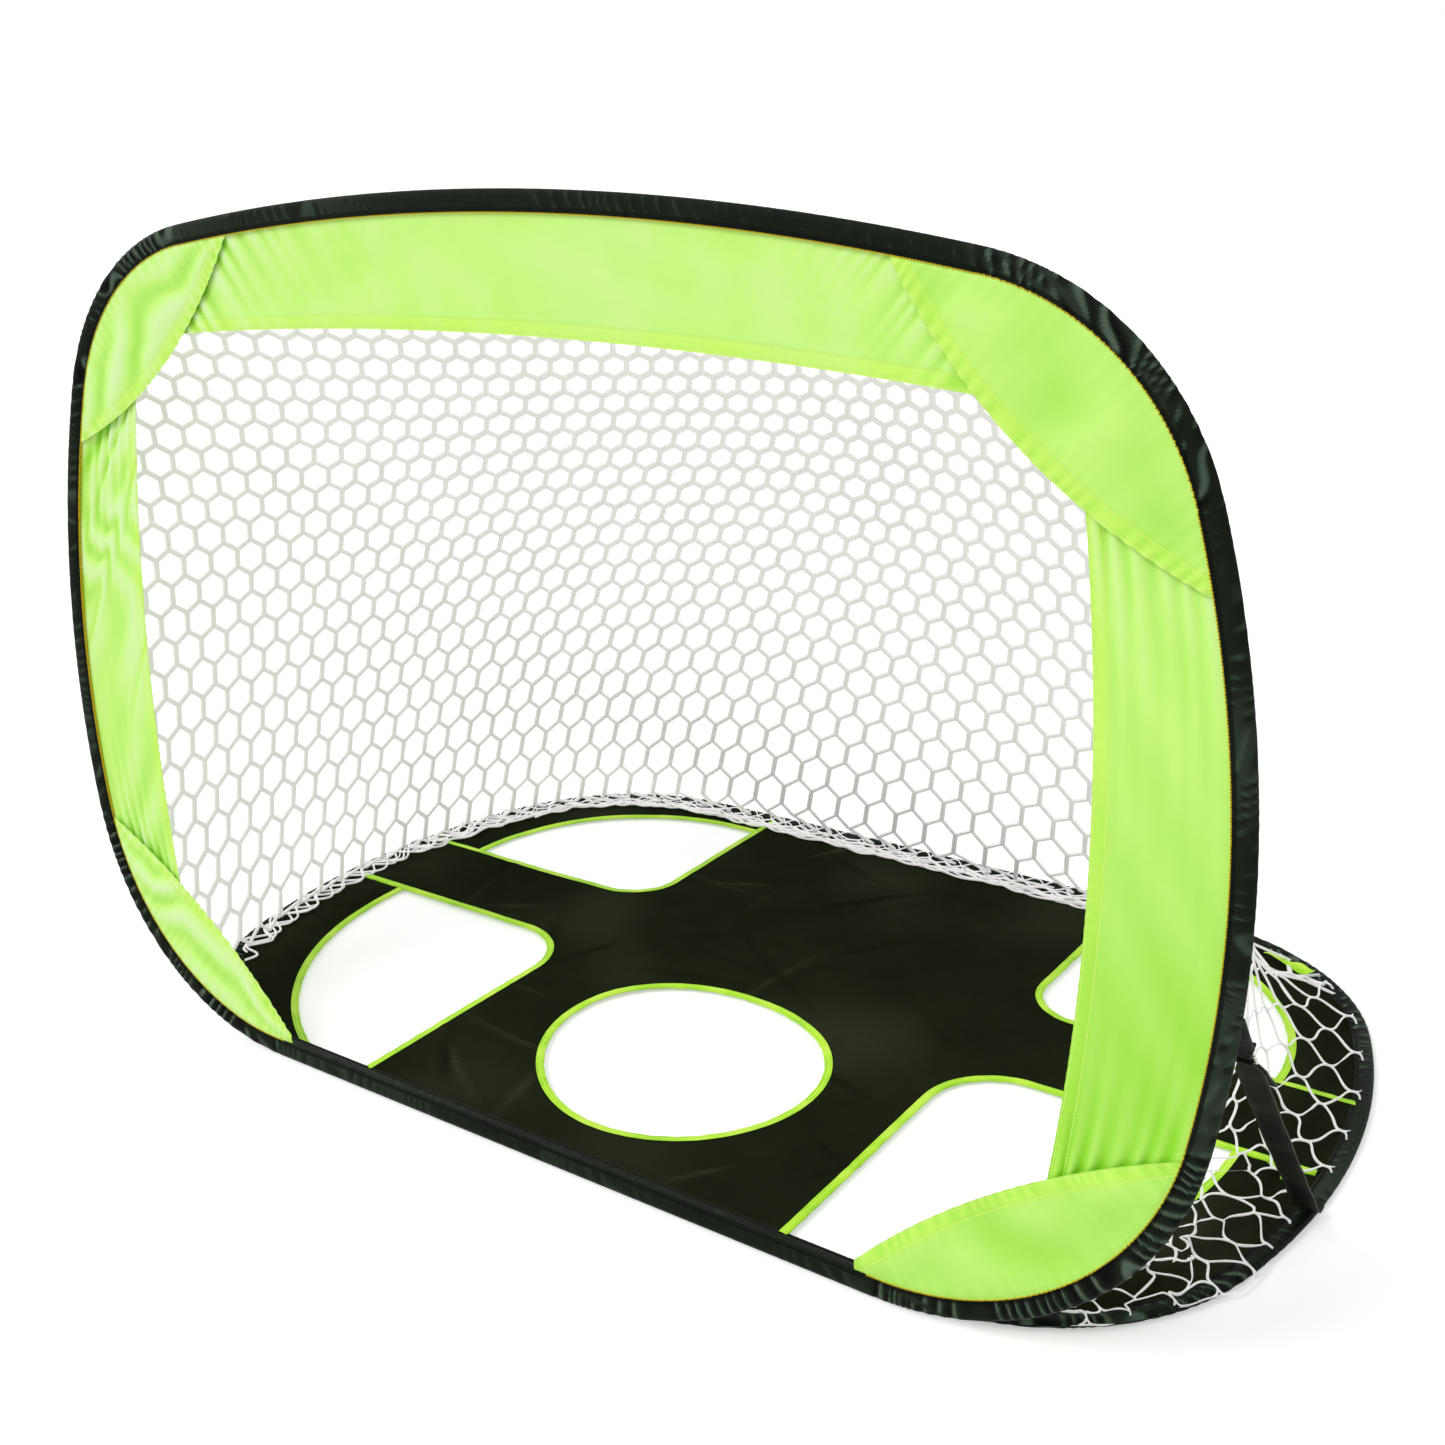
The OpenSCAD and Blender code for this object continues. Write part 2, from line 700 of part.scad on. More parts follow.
module side_band(side) {
    row = cross_steps + 1;
    count = (band_steps + 1) * row;
    points = [for (face = [0, 1]) for (i = [0 : band_steps]) for (m = [0 : cross_steps])
        band_point(i, m, face)];
    function id(i, m, face) = face * count + i * row + m;
    skin = [for (i = [0 : band_steps - 1]) for (m = [0 : cross_steps - 1])
        each concat(
            two(id(i, m, 0), id(i, m + 1, 0), id(i + 1, m + 1, 0), id(i + 1, m, 0)),
            two(id(i + 1, m, 1), id(i + 1, m + 1, 1), id(i, m + 1, 1), id(i, m, 1)))];
    long_edges = [for (i = [0 : band_steps - 1])
        each concat(
            two(id(i, 0, 0), id(i + 1, 0, 0), id(i + 1, 0, 1), id(i, 0, 1)),
            two(id(i + 1, cross_steps, 0), id(i, cross_steps, 0),
                id(i, cross_steps, 1), id(i + 1, cross_steps, 1)))];
    short_edges = [for (m = [0 : cross_steps - 1])
        each concat(
            two(id(0, m + 1, 0), id(0, m, 0), id(0, m, 1), id(0, m + 1, 1)),
            two(id(band_steps, m, 0), id(band_steps, m + 1, 0),
                id(band_steps, m + 1, 1), id(band_steps, m, 1)))];
    color(neon) upright() for_side(side)
        polyhedron(points, concat(skin, long_edges, short_edges));
}

// Disc whose rim passes through two points and bows by a given amount between them
module bowed_disc(a, b, bow) {
    half = norm(b - a) / 2;
    r = (half * half + bow * bow) / (2 * bow);
    side = [b.y - a.y, a.x - b.x] / (2 * half);
    translate((a + b) / 2 - side * (r - bow)) circle(r = r, $fn = 180);
}

module corner_panel(side, a, b, bow) {
    color(neon) upright() for_side(side) front_layer() intersection() {
        hoop_area(front_arcs, cloth_inset);
        bowed_disc(a, b, bow);
    }
}

// The hems of the corner panels, from sleeve to sleeve
module panel_top(side) {
    corner_panel(side, [328, 793], [563, 596], high_hem_bow);
}

module panel_low(side) {
    corner_panel(side, [574, 204], [325, 27], low_hem_bow);
}

ground_wire();
ground_ferrule();
ground_sleeve();
target_cross();
corner_front(-1);  // corner_front_left
corner_front(1);  // corner_front_right
corner_rear(-1);  // corner_rear_left
corner_rear(1);  // corner_rear_right
round_hole_binding();
cross_binding_front(-1);  // cross_binding_front_left
cross_binding_front(1);  // cross_binding_front_right
cross_binding_rear(-1);  // cross_binding_rear_left
cross_binding_rear(1);  // cross_binding_rear_right
corner_binding_front(-1);  // corner_binding_front_left
corner_binding_front(1);  // corner_binding_front_right
corner_binding_rear(-1);  // corner_binding_rear_left
corner_binding_rear(1);  // corner_binding_rear_right
hinge_tape();
net();
net_ties();
strap();  // right_strap
front_wire();
front_ferrule();
front_sleeve();
top_band();
side_band(-1);  // left_band
side_band(1);  // right_band
panel_top(-1);  // panel_top_left
panel_top(1);  // panel_top_right
panel_low(-1);  // panel_low_left
panel_low(1);  // panel_low_right
tab();  // right_tab
rivet();  // right_rivet
ring();  // right_ring
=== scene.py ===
"""Pop-up play goal: two spring hoops in cloth sleeves, hinged along the goal line, with
neon bands round the mouth, a target sheet on the ground, a net behind and a side strap.
The script follows the goal as it is put together. Lengths are in metres."""
import json
import math
import bmesh
import bpy
import numpy as np
from mathutils import Matrix, Vector
from mathutils.bvhtree import BVHTree
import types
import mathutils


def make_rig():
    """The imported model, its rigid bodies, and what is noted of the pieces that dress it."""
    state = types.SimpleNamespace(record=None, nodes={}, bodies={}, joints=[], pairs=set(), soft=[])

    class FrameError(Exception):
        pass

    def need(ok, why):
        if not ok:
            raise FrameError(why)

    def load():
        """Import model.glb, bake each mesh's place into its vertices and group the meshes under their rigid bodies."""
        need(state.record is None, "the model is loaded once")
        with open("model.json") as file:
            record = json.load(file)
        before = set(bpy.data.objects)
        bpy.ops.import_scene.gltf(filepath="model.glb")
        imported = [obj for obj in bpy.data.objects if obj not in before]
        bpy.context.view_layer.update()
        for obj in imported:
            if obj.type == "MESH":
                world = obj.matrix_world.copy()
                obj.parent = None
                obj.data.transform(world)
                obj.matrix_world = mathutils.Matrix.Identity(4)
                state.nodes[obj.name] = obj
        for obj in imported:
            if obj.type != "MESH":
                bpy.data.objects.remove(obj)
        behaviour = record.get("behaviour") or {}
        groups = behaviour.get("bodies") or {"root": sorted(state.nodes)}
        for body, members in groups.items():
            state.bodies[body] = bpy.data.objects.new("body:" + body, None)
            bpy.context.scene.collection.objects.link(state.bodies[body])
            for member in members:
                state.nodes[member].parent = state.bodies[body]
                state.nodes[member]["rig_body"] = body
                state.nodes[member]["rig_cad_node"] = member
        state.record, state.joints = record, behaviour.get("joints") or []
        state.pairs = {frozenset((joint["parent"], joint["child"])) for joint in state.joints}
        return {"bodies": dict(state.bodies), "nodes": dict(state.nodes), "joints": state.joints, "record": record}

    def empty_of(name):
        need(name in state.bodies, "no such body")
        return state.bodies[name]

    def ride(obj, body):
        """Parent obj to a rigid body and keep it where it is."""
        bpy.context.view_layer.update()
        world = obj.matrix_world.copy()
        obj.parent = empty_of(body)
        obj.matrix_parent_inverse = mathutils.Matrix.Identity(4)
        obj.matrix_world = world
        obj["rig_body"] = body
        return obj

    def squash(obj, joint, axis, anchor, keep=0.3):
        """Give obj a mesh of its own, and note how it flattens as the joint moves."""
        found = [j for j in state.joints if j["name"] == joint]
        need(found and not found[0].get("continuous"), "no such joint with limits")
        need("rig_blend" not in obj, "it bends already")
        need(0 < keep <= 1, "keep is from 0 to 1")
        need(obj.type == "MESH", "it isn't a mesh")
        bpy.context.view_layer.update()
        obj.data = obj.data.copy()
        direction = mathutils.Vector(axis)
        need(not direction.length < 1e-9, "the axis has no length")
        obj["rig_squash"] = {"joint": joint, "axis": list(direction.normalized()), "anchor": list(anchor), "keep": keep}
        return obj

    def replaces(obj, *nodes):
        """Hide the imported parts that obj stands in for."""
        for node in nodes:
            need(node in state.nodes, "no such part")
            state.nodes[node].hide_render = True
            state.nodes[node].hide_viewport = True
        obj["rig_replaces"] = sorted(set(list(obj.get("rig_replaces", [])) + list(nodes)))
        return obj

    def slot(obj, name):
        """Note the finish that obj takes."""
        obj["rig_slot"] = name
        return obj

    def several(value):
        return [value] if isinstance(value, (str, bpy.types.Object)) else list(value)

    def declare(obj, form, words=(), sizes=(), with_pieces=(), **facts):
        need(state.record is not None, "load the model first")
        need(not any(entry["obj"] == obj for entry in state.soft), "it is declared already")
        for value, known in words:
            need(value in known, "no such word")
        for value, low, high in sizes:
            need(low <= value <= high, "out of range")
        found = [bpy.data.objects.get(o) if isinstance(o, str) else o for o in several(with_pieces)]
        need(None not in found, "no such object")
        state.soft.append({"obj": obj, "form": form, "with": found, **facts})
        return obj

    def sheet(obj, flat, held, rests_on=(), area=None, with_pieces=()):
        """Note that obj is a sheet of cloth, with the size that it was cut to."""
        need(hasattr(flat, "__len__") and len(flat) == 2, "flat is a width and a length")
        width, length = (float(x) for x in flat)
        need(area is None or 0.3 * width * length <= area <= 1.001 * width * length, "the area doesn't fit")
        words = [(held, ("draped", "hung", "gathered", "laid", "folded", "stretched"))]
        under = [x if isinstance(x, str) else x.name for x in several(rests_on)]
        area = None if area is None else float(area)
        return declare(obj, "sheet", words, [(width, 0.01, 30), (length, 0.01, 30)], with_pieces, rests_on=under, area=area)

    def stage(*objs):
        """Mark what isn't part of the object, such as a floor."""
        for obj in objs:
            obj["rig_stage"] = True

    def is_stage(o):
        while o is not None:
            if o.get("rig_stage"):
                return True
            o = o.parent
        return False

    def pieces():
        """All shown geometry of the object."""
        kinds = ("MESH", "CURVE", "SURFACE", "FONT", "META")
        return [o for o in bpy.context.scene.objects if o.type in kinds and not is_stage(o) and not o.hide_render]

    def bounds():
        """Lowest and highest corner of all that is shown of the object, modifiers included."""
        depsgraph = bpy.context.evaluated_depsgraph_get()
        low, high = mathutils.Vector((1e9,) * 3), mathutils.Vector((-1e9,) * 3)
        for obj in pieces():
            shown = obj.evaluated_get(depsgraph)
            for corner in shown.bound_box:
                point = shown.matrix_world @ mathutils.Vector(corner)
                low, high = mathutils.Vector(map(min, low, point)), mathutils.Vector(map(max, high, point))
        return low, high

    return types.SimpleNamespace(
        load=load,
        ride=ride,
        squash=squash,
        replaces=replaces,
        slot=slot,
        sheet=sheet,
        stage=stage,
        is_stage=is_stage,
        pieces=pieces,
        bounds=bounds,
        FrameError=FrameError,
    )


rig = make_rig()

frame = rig.load()
cad_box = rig.bounds()

# ---- Camera ----
# It stands in front of the goal, to the right, a little above its top, and looks down
# into the mouth.
camera_data = bpy.data.cameras.new("camera")
camera_data.lens = 42.73
camera_data.sensor_width = 36
camera = bpy.data.objects.new("camera", camera_data)
camera.location = (0.90153, -0.99754, 0.88397)
camera.rotation_euler = (Matrix.Rotation(0.61376, 3, "Z")
                         @ Matrix.Rotation(math.pi / 2 - 0.34147, 3, "X")
                         @ Matrix.Rotation(-0.02298, 3, "Z")).to_euler()
bpy.context.collection.objects.link(camera)
bpy.context.scene.camera = camera


# ---- Spring wires and ferrules ----
# Each hoop is one length of hardened steel wire. Its ends meet in a crimped ferrule in the
# middle of the goal line. Both stay hidden in their sleeves.
def srgb(red, green, blue):
    """A colour as read on a screen, from 0 to 255, in Blender's linear values."""
    return tuple(c / 3294.6 if c <= 10 else ((c / 255 + 0.055) / 1.055) ** 2.4
                 for c in (red, green, blue)) + (1.0,)


def new_material(name, **sockets):
    """A material with its Principled shader's own sockets set, and its node tree."""
    material = bpy.data.materials.new(name)
    material.use_nodes = True
    shader = material.node_tree.nodes["Principled BSDF"]
    for socket, value in sockets.items():
        shader.inputs[socket.replace("_", " ").title().replace("Ior", "IOR")].default_value = value
    return material, material.node_tree, shader


def add_node(tree, kind, links=(), **settings):
    """A node with its settings. Its links give inputs their sources or their values."""
    node = tree.nodes.new(kind)
    for setting, value in settings.items():
        setattr(node, setting, value)
    for socket, source in dict(links).items():
        if isinstance(source, bpy.types.NodeSocket):
            tree.links.new(source, node.inputs[socket])
        else:
            node.inputs[socket].default_value = source
    return node


def sums(tree, operation, *values):
    """What a maths node makes of its values."""
    return add_node(tree, "ShaderNodeMath", dict(enumerate(values)), operation=operation).outputs[0]


def mix_colours(tree, factor, first, second):
    """The first colour at 0 and the second at 1. They are the node's inputs 6 and 7."""
    return add_node(tree, "ShaderNodeMix", {0: factor, 6: first, 7: second},
                    data_type="RGBA").outputs[2]


def noise(tree, vector, scale, detail, roughness=0.5):
    return add_node(tree, "ShaderNodeTexNoise", {"Vector": vector, "Scale": scale,
                                                 "Detail": detail,
                                                 "Roughness": roughness}).outputs["Fac"]


def ramp(tree, value, start, end):
    """From 0 to 1 while the value goes from start to end."""
    return add_node(tree, "ShaderNodeMapRange", {"Value": value, "From Min": start,
                                                 "From Max": end}).outputs[0]


def feed(tree, inputs, sources):
    """Links each source to the input that it is named for."""
    for socket, source in sources.items():
        tree.links.new(source, inputs[socket])


def cover(tree, shader, colour, roughness, height, strength=1.0):
    """Feeds a shader its colour, its roughness and, from a height in metres, its normal."""
    bump = add_node(tree, "ShaderNodeBump", {"Height": height, "Strength": strength,
                                             "Distance": 1.0})
    feed(tree, shader.inputs, {"Base Color": colour, "Roughness": roughness,
                               "Normal": bump.outputs["Normal"]})


def new_group(name, inputs, outputs):
    """An empty shader group with sockets of the given kinds, and its two ends."""
    group = bpy.data.node_groups.new(name, "ShaderNodeTree")
    for way, sockets in (("INPUT", inputs), ("OUTPUT", outputs)):
        for socket, kind in sockets.items():
            group.interface.new_socket(socket, in_out=way, socket_type="NodeSocket" + kind)
    return (group, group.nodes.new("NodeGroupInput").outputs,
            group.nodes.new("NodeGroupOutput").inputs)


def place_group(tree, group, links):
    """Places a shader group in a tree and returns its outputs."""
    return add_node(tree, "ShaderNodeGroup", links, node_tree=group).outputs


surface_sockets = {"Color": "Color", "Roughness": "Float", "Height": "Float"}
scuffs, given, made = new_group("handled metal", {"Vector": "Vector", "Bright": "Color",
                                                  "Dull": "Color"}, surface_sockets)
fine = noise(scuffs, given["Vector"], 900.0, 3.0)
broad = noise(scuffs, given["Vector"], 60.0, 4.0)
worn = ramp(scuffs, broad, 0.4, 0.7)
feed(scuffs, made, {"Color": mix_colours(scuffs, worn, given["Bright"], given["Dull"]),
                    "Roughness": sums(scuffs, "MULTIPLY_ADD", broad, 0.25, 0.15),
                    "Height": sums(scuffs, "MULTIPLY", fine, 0.00004)})


def metal_material(name, bright, dull):
    material, tree, shader = new_material(name, metallic=1.0)
    place = tree.nodes.new("ShaderNodeTexCoord").outputs["Object"]
    finish = place_group(tree, scuffs, {"Vector": place, "Bright": bright, "Dull": dull})
    cover(tree, shader, finish["Color"], finish["Roughness"], finish["Height"])
    return material


def repaint(material, *nodes):
    """Gives CAD nodes' objects a better material."""
    for node in nodes:
        piece = frame["nodes"][node]
        piece.data.materials.clear()
        piece.data.materials.append(material)


wire_steel = metal_material("spring steel", srgb(168, 170, 172), srgb(120, 121, 122))
repaint(wire_steel, "ground_wire", "ground_ferrule", "front_wire", "front_ferrule")


# ---- Ground hoop's sleeve ----
# A tube of black satin polyester is folded round the wire and sewn shut along its inner
# edge. The cloth ruches where the hoop turns its corners.
def hoop(straight, radii, turns):
    """The right half of a hoop as a straight and a run of tangent arcs, closed on top."""
    x, y, heading, run, arcs = straight / 2, 0.0, 0.0, straight / 2, []
    for radius, turn in [*zip(radii, map(math.radians, turns)), (None, None)]:
        if radius is None:
            turn = math.pi - heading
            radius = x / math.sin(turn)
        centre = (x - radius * math.sin(heading), y + radius * math.cos(heading))
        arcs.append((centre, radius, heading, run))
        heading += turn
        run += radius * turn
        x, y = centre[0] + radius * math.sin(heading), centre[1] - radius * math.cos(heading)
    return {"straight": straight, "arcs": arcs, "half": run}


def hoop_point(ring, run, inset=0.0):
    """Places on a hoop, run metres round from the middle of the goal line, and the bend."""
    run = np.mod(np.asarray(run, float), 2 * ring["half"])
    side = np.where(run > ring["half"], -1.0, 1.0)
    run = np.where(run > ring["half"], 2 * ring["half"] - run, run)
    x, y, heading, bend = run.copy(), np.zeros_like(run), np.zeros_like(run), np.zeros_like(run)
    for centre, radius, start_heading, start in ring["arcs"]:
        on = run > start
        turned = start_heading + (run - start) / radius
        x = np.where(on, centre[0] + radius * np.sin(turned), x)
        y = np.where(on, centre[1] - radius * np.cos(turned), y)
        heading = np.where(on, turned, heading)
        bend = np.where(on, 1 / radius, bend)
    return side * (x - inset * np.sin(heading)), y + inset * np.cos(heading), bend


def wander(run, step, seed):
    """A smooth random line between -1 and 1 that changes about once a step."""
    values = np.random.RandomState(seed).uniform(-1, 1, 4096)
    t = np.asarray(run, float) / step
    low = np.floor(t).astype(int)
    part = t - low
    part = part * part * (3 - 2 * part)
    return values[low % 4096] * (1 - part) + values[(low + 1) % 4096] * part


def ripples(x, y, length, seed, count=6):
    """A smooth random surface between about -1 and 1, with waves of about one length."""
    chance = np.random.RandomState(seed)
    total = 0.0
    for _ in range(count):
        angle, phase = chance.uniform(0, math.pi), chance.uniform(0, 2 * math.pi)
        k = 2 * math.pi / (length * chance.uniform(0.7, 1.5))
        total = total + np.sin(k * (x * math.cos(angle) + y * math.sin(angle)) + phase)
    return total / math.sqrt(count) / 1.4


def paint_light_and_shade(piece, fold):
    """Keeps for each point the light and shade painted on it: 0 is the painted shade of a crease, 0.5 flat and 1 the
    painted highlight of a ridge.
    """
    mark = piece.data.attributes.get("fold") or piece.data.attributes.new("fold", "FLOAT", "POINT")
    mark.data.foreach_set("value", np.clip(fold, 0, 1).astype(np.float32))


def read(items, field, width=1, kind=np.float32):
    """A field of a mesh's items, as one array for each of the field's width numbers."""
    values = np.empty(len(items) * width, kind)
    items.foreach_get(field, values)
    return values.reshape(-1, width).T.astype(int if kind is np.int32 else float, order="C")


def cloth_grid(name, along, across, surface):
    """A grid laid onto surface(a, b), a and b from 0 to 1. The surface gives the places,
    the cloth's own coordinates in metres, which become its UV map, and the light and shade painted along its folds."""
    bpy.ops.object.select_all(action="DESELECT")
    bpy.ops.mesh.primitive_grid_add(x_subdivisions=along, y_subdivisions=across, size=1)
    piece = bpy.context.object
    piece.name = piece.data.name = name
    mesh = piece.data
    a, b = np.clip(read(mesh.vertices, "co", 3)[:2] + 0.5, 0, 1)
    points, uv, fold = surface(a, b)
    mesh.vertices.foreach_set("co", np.column_stack(points).astype(np.float32).ravel())
    corner, = read(mesh.loops, "vertex_index", kind=np.int32)
    mesh.uv_layers[0].name = "cloth"
    mesh.uv_layers["cloth"].data.foreach_set(
        "uv", np.column_stack(uv)[corner].astype(np.float32).ravel())
    paint_light_and_shade(piece, fold + 0 * a)
    mesh.update()
    return piece


def cut_of(piece, plies=1):
    """The smallest rectangle that the piece's flat cloth was cut from, and its area."""
    mesh = piece.data
    u, v = read(mesh.uv_layers["cloth"].data, "uv", 2)
    first, = read(mesh.polygons, "loop_start", kind=np.int32)
    count, = read(mesh.polygons, "loop_total", kind=np.int32)
    following = np.arange(len(u)) + 1
    following[first + count - 1] = first
    area = np.abs(np.add.reduceat(u * v[following] - u[following] * v, first)).sum() / 2
    boxes = [(float(np.ptp(v * math.cos(t) - u * math.sin(t))) * plies,
              float(np.ptp(u * math.cos(t) + v * math.sin(t))))
             for t in np.radians(range(-85, 90, 5))]
    width, length = min(boxes, key=lambda box: box[0] * box[1])
    return {"flat": (width, length), "area": min(float(area), width * length)}


def pick(piece):
    """Selects a piece alone and makes it the active one."""
    bpy.ops.object.select_all(action="DESELECT")
    piece.select_set(True)
    bpy.context.view_layer.objects.active = piece


def tidy_shell(piece):
    """Closes a rolled grid's seams and points its faces outwards."""
    pick(piece)
    bpy.ops.object.mode_set(mode="EDIT")
    bpy.ops.mesh.select_all(action="SELECT")
    bpy.ops.mesh.remove_doubles(threshold=0.00005)
    bpy.ops.mesh.normals_make_consistent(inside=False)
    bpy.ops.object.mode_set(mode="OBJECT")
    bpy.ops.object.shade_smooth()


def reshape(piece, kind, **settings):
    """Adds a modifier to the active piece and applies it."""
    modifier = piece.modifiers.new("reshape", kind)
    for setting, value in settings.items():
        setattr(modifier, setting, value)
    bpy.ops.object.modifier_apply(modifier=modifier.name)


def thicken(piece, thickness):
    """Gives a sheet its thickness, half to each side, and smooths it."""
    pick(piece)
    reshape(piece, "SOLIDIFY", thickness=thickness, offset=0)
    bpy.ops.object.shade_smooth_by_angle(angle=math.radians(50))


def as_sheet(piece, thickness, held, *rests_on):
    """Declares a single layer of cloth, with the size that it was cut to, and thickens it."""
    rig.sheet(piece, held=held, rests_on=list(rests_on), **cut_of(piece))
    thicken(piece, thickness)


def dress(piece, material, body, node, slot):
    """Gives a piece its material, the body that carries it, the CAD node that it stands
    for and its slot."""
    piece.data.materials.append(material)
    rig.ride(piece, body)
    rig.replaces(piece, node)
    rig.slot(piece, slot)


def sleeve(name, count, ring, place, seed, ruched, wire):
    """A ruched tube, round over the wire, with a stitched hem along its inner edge. Its
    section runs in from the hoop's outer edge by w metres on each face."""
    length, pleat, calm = 2 * ring["half"], 0.0135, 0.0002
    width, round_part, seam = 0.018, 0.0055, 0.0152

    def surface(a, b):
        run = a * length
        t = 1 - np.abs(2 * b - 1)
        face = np.where(b <= 0.5, 1.0, -1.0)
        w = width * 0.5 * (1 - np.cos(math.pi * t))
        outer = np.sqrt(np.clip(1 - (1 - w / round_part) ** 2, 0, 1))
        inner = np.cos(math.pi / 2 * np.clip((w - round_part) / 0.0095, 0, 1)) ** 0.7
        thick = np.where(w < round_part, 0.0043 * outer, 0.0011 + 0.0032 * inner)
        thick = np.where(w > seam, 0.0017, thick)
        turning = np.clip(hoop_point(ring, run)[2] * 0.24, 0.06, 1)
        depth = calm + (ruched - calm) * turning
        open_end = np.clip(np.minimum(run, length - run) / 0.02, 0, 1)
        slant = (w - width / 2) * (35 * wander(run, 0.05, seed + 1) + 20 * face)
        phase = 2 * math.pi * (run / pleat + 1.7 * wander(run, 0.035, seed) + slant)
        crest, facet = 0.5 + 0.5 * np.cos(phase), np.sin(phase)
        patch = np.clip(0.5 + 0.6 * wander(run + 3 * w, 0.016, seed + 2)
                        + 0.4 * wander(run - 2 * w, 0.05, seed + 4), 0, 1)
        fine = 0.5 + 0.5 * np.sin(2 * math.pi * (run / 0.0047 + wander(run, 0.02, seed + 3)))
        reach = np.exp(-((w - 0.0105) / 0.0055) ** 2) + 0.35 * np.exp(-((w - 0.003) / 0.004) ** 2)
        hem = np.clip((w - seam) / 0.002, 0, 1)
        sink = open_end * (reach * depth * (crest ** 1.5 * (0.4 + 0.6 * patch) + 0.2 * fine)
                           + 0.25 * hem * depth * fine)
        z = face * np.maximum(thick - sink, 0.0008 * np.clip(w / 0.003, 0, 1))
        inset = w + open_end * depth * (0.3 * crest * np.exp(-(w / 0.003) ** 2)
                                        - 0.35 * fine * hem)
        groove = np.exp(-((w - seam) / 0.0009) ** 2)
        # Painted light: a painted highlight on the facet of each pucker that faces one way, and painted shade in the
        # pucker's crease and along the seam's groove, strongest where the hoop turns.
        fold = (0.5 + 1.10 * turning ** 0.8 * (np.clip(facet, 0, 1) ** 1.5 * patch * (1 - hem)
                                               - 0.6 * crest * patch) - 0.4 * groove
                + 0.10 * wander(run, 0.09, seed + 5))
        x, y, _ = hoop_point(ring, run, inset)
        return place(x, y, z), (run, w), fold
    piece = cloth_grid(name, count, 28, surface)
    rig.sheet(piece, held="gathered", rests_on=[wire], **cut_of(piece, 2))
    tidy_shell(piece)
    return piece


half_sleeve = 0.009


def on_ground(x, y, z):
    """From the ground hoop's own plane to the goal's frame, which starts halfway across
    the sleeve, on the floor."""
    return x, y - half_sleeve, z + 0.0045


ground_hoop = hoop(0.720, (0.230, 0.700, 0.250), (75, 36, 68))
front_hoop = hoop(0.690, (0.255, 0.945, 0.217), (80.5, 27, 63))

weave, given, made = new_group("woven cloth", {
    "Vector": "Vector", "Light": "Color", "Dark": "Color", "Pitch": "Float",
    "Crease": "Float"}, surface_sockets)
split = add_node(weave, "ShaderNodeSeparateXYZ", {0: given["Vector"]})
radian = sums(weave, "MULTIPLY", given["Pitch"], 0.159)
threads = [sums(weave, "SINE", sums(weave, "DIVIDE", split.outputs[axis], radian))
           for axis in (0, 1)]
over = sums(weave, "MULTIPLY", *threads)
streaks = add_node(weave, "ShaderNodeMapping", {"Vector": given["Vector"],
                                                "Scale": (9.0, 26.0, 1.0)})
folds = noise(weave, streaks.outputs[0], 1.0, 5.0, 0.45)
mottle = noise(weave, given["Vector"], 14.0, 6.0, 0.6)
shade = ramp(weave, mottle, 0.3, 0.72)
feed(weave, made, {
    "Color": mix_colours(weave, shade, given["Dark"], given["Light"]),
    "Roughness": sums(weave, "MULTIPLY_ADD", mottle, 0.2, 0.36),
    "Height": sums(weave, "MULTIPLY_ADD", over, sums(weave, "MULTIPLY", given["Pitch"], 0.06),
                   sums(weave, "MULTIPLY", given["Crease"], folds))})

stitches, given, made = new_group("stitch row", {
    "Vector": "Vector", "Seam": "Float", "Length": "Float", "Width": "Float"},
    {"Mask": "Float", "Height": "Float"})
split = add_node(stitches, "ShaderNodeSeparateXYZ", {0: given["Vector"]})
off_seam = sums(stitches, "ABSOLUTE", sums(stitches, "SUBTRACT", split.outputs[1], given["Seam"]))
on_row = sums(stitches, "LESS_THAN", off_seam, sums(stitches, "MULTIPLY", given["Width"], 0.5))
beat = sums(stitches, "FRACT", sums(stitches, "DIVIDE", split.outputs[0], given["Length"]))
thread = sums(stitches, "MULTIPLY", on_row, sums(stitches, "LESS_THAN", beat, 0.78))
dimple = sums(stitches, "MULTIPLY", ramp(stitches, off_seam, 0.0, 0.0022), 0.0002)
feed(stitches, made, {"Mask": thread,
                      "Height": sums(stitches, "MULTIPLY_ADD", thread, 0.0001, dimple)})

# Painted light and shade: the colour turns to its crease colour, a painted shade, as the painted light falls from 0.5
# to 0, and to its ridge colour, a painted highlight, as it rises to 1.
lie, given, made = new_group("cloth folds", {
    "Color": "Color", "Fold": "Float", "Crease": "Color", "Ridge": "Color"}, {"Color": "Color"})
crease_shaded = mix_colours(lie, ramp(lie, given["Fold"], 0.5, 0.0), given["Color"], given["Crease"])
feed(lie, made, {"Color": mix_colours(lie, ramp(lie, given["Fold"], 0.5, 1.0), crease_shaded,
                                      given["Ridge"])})


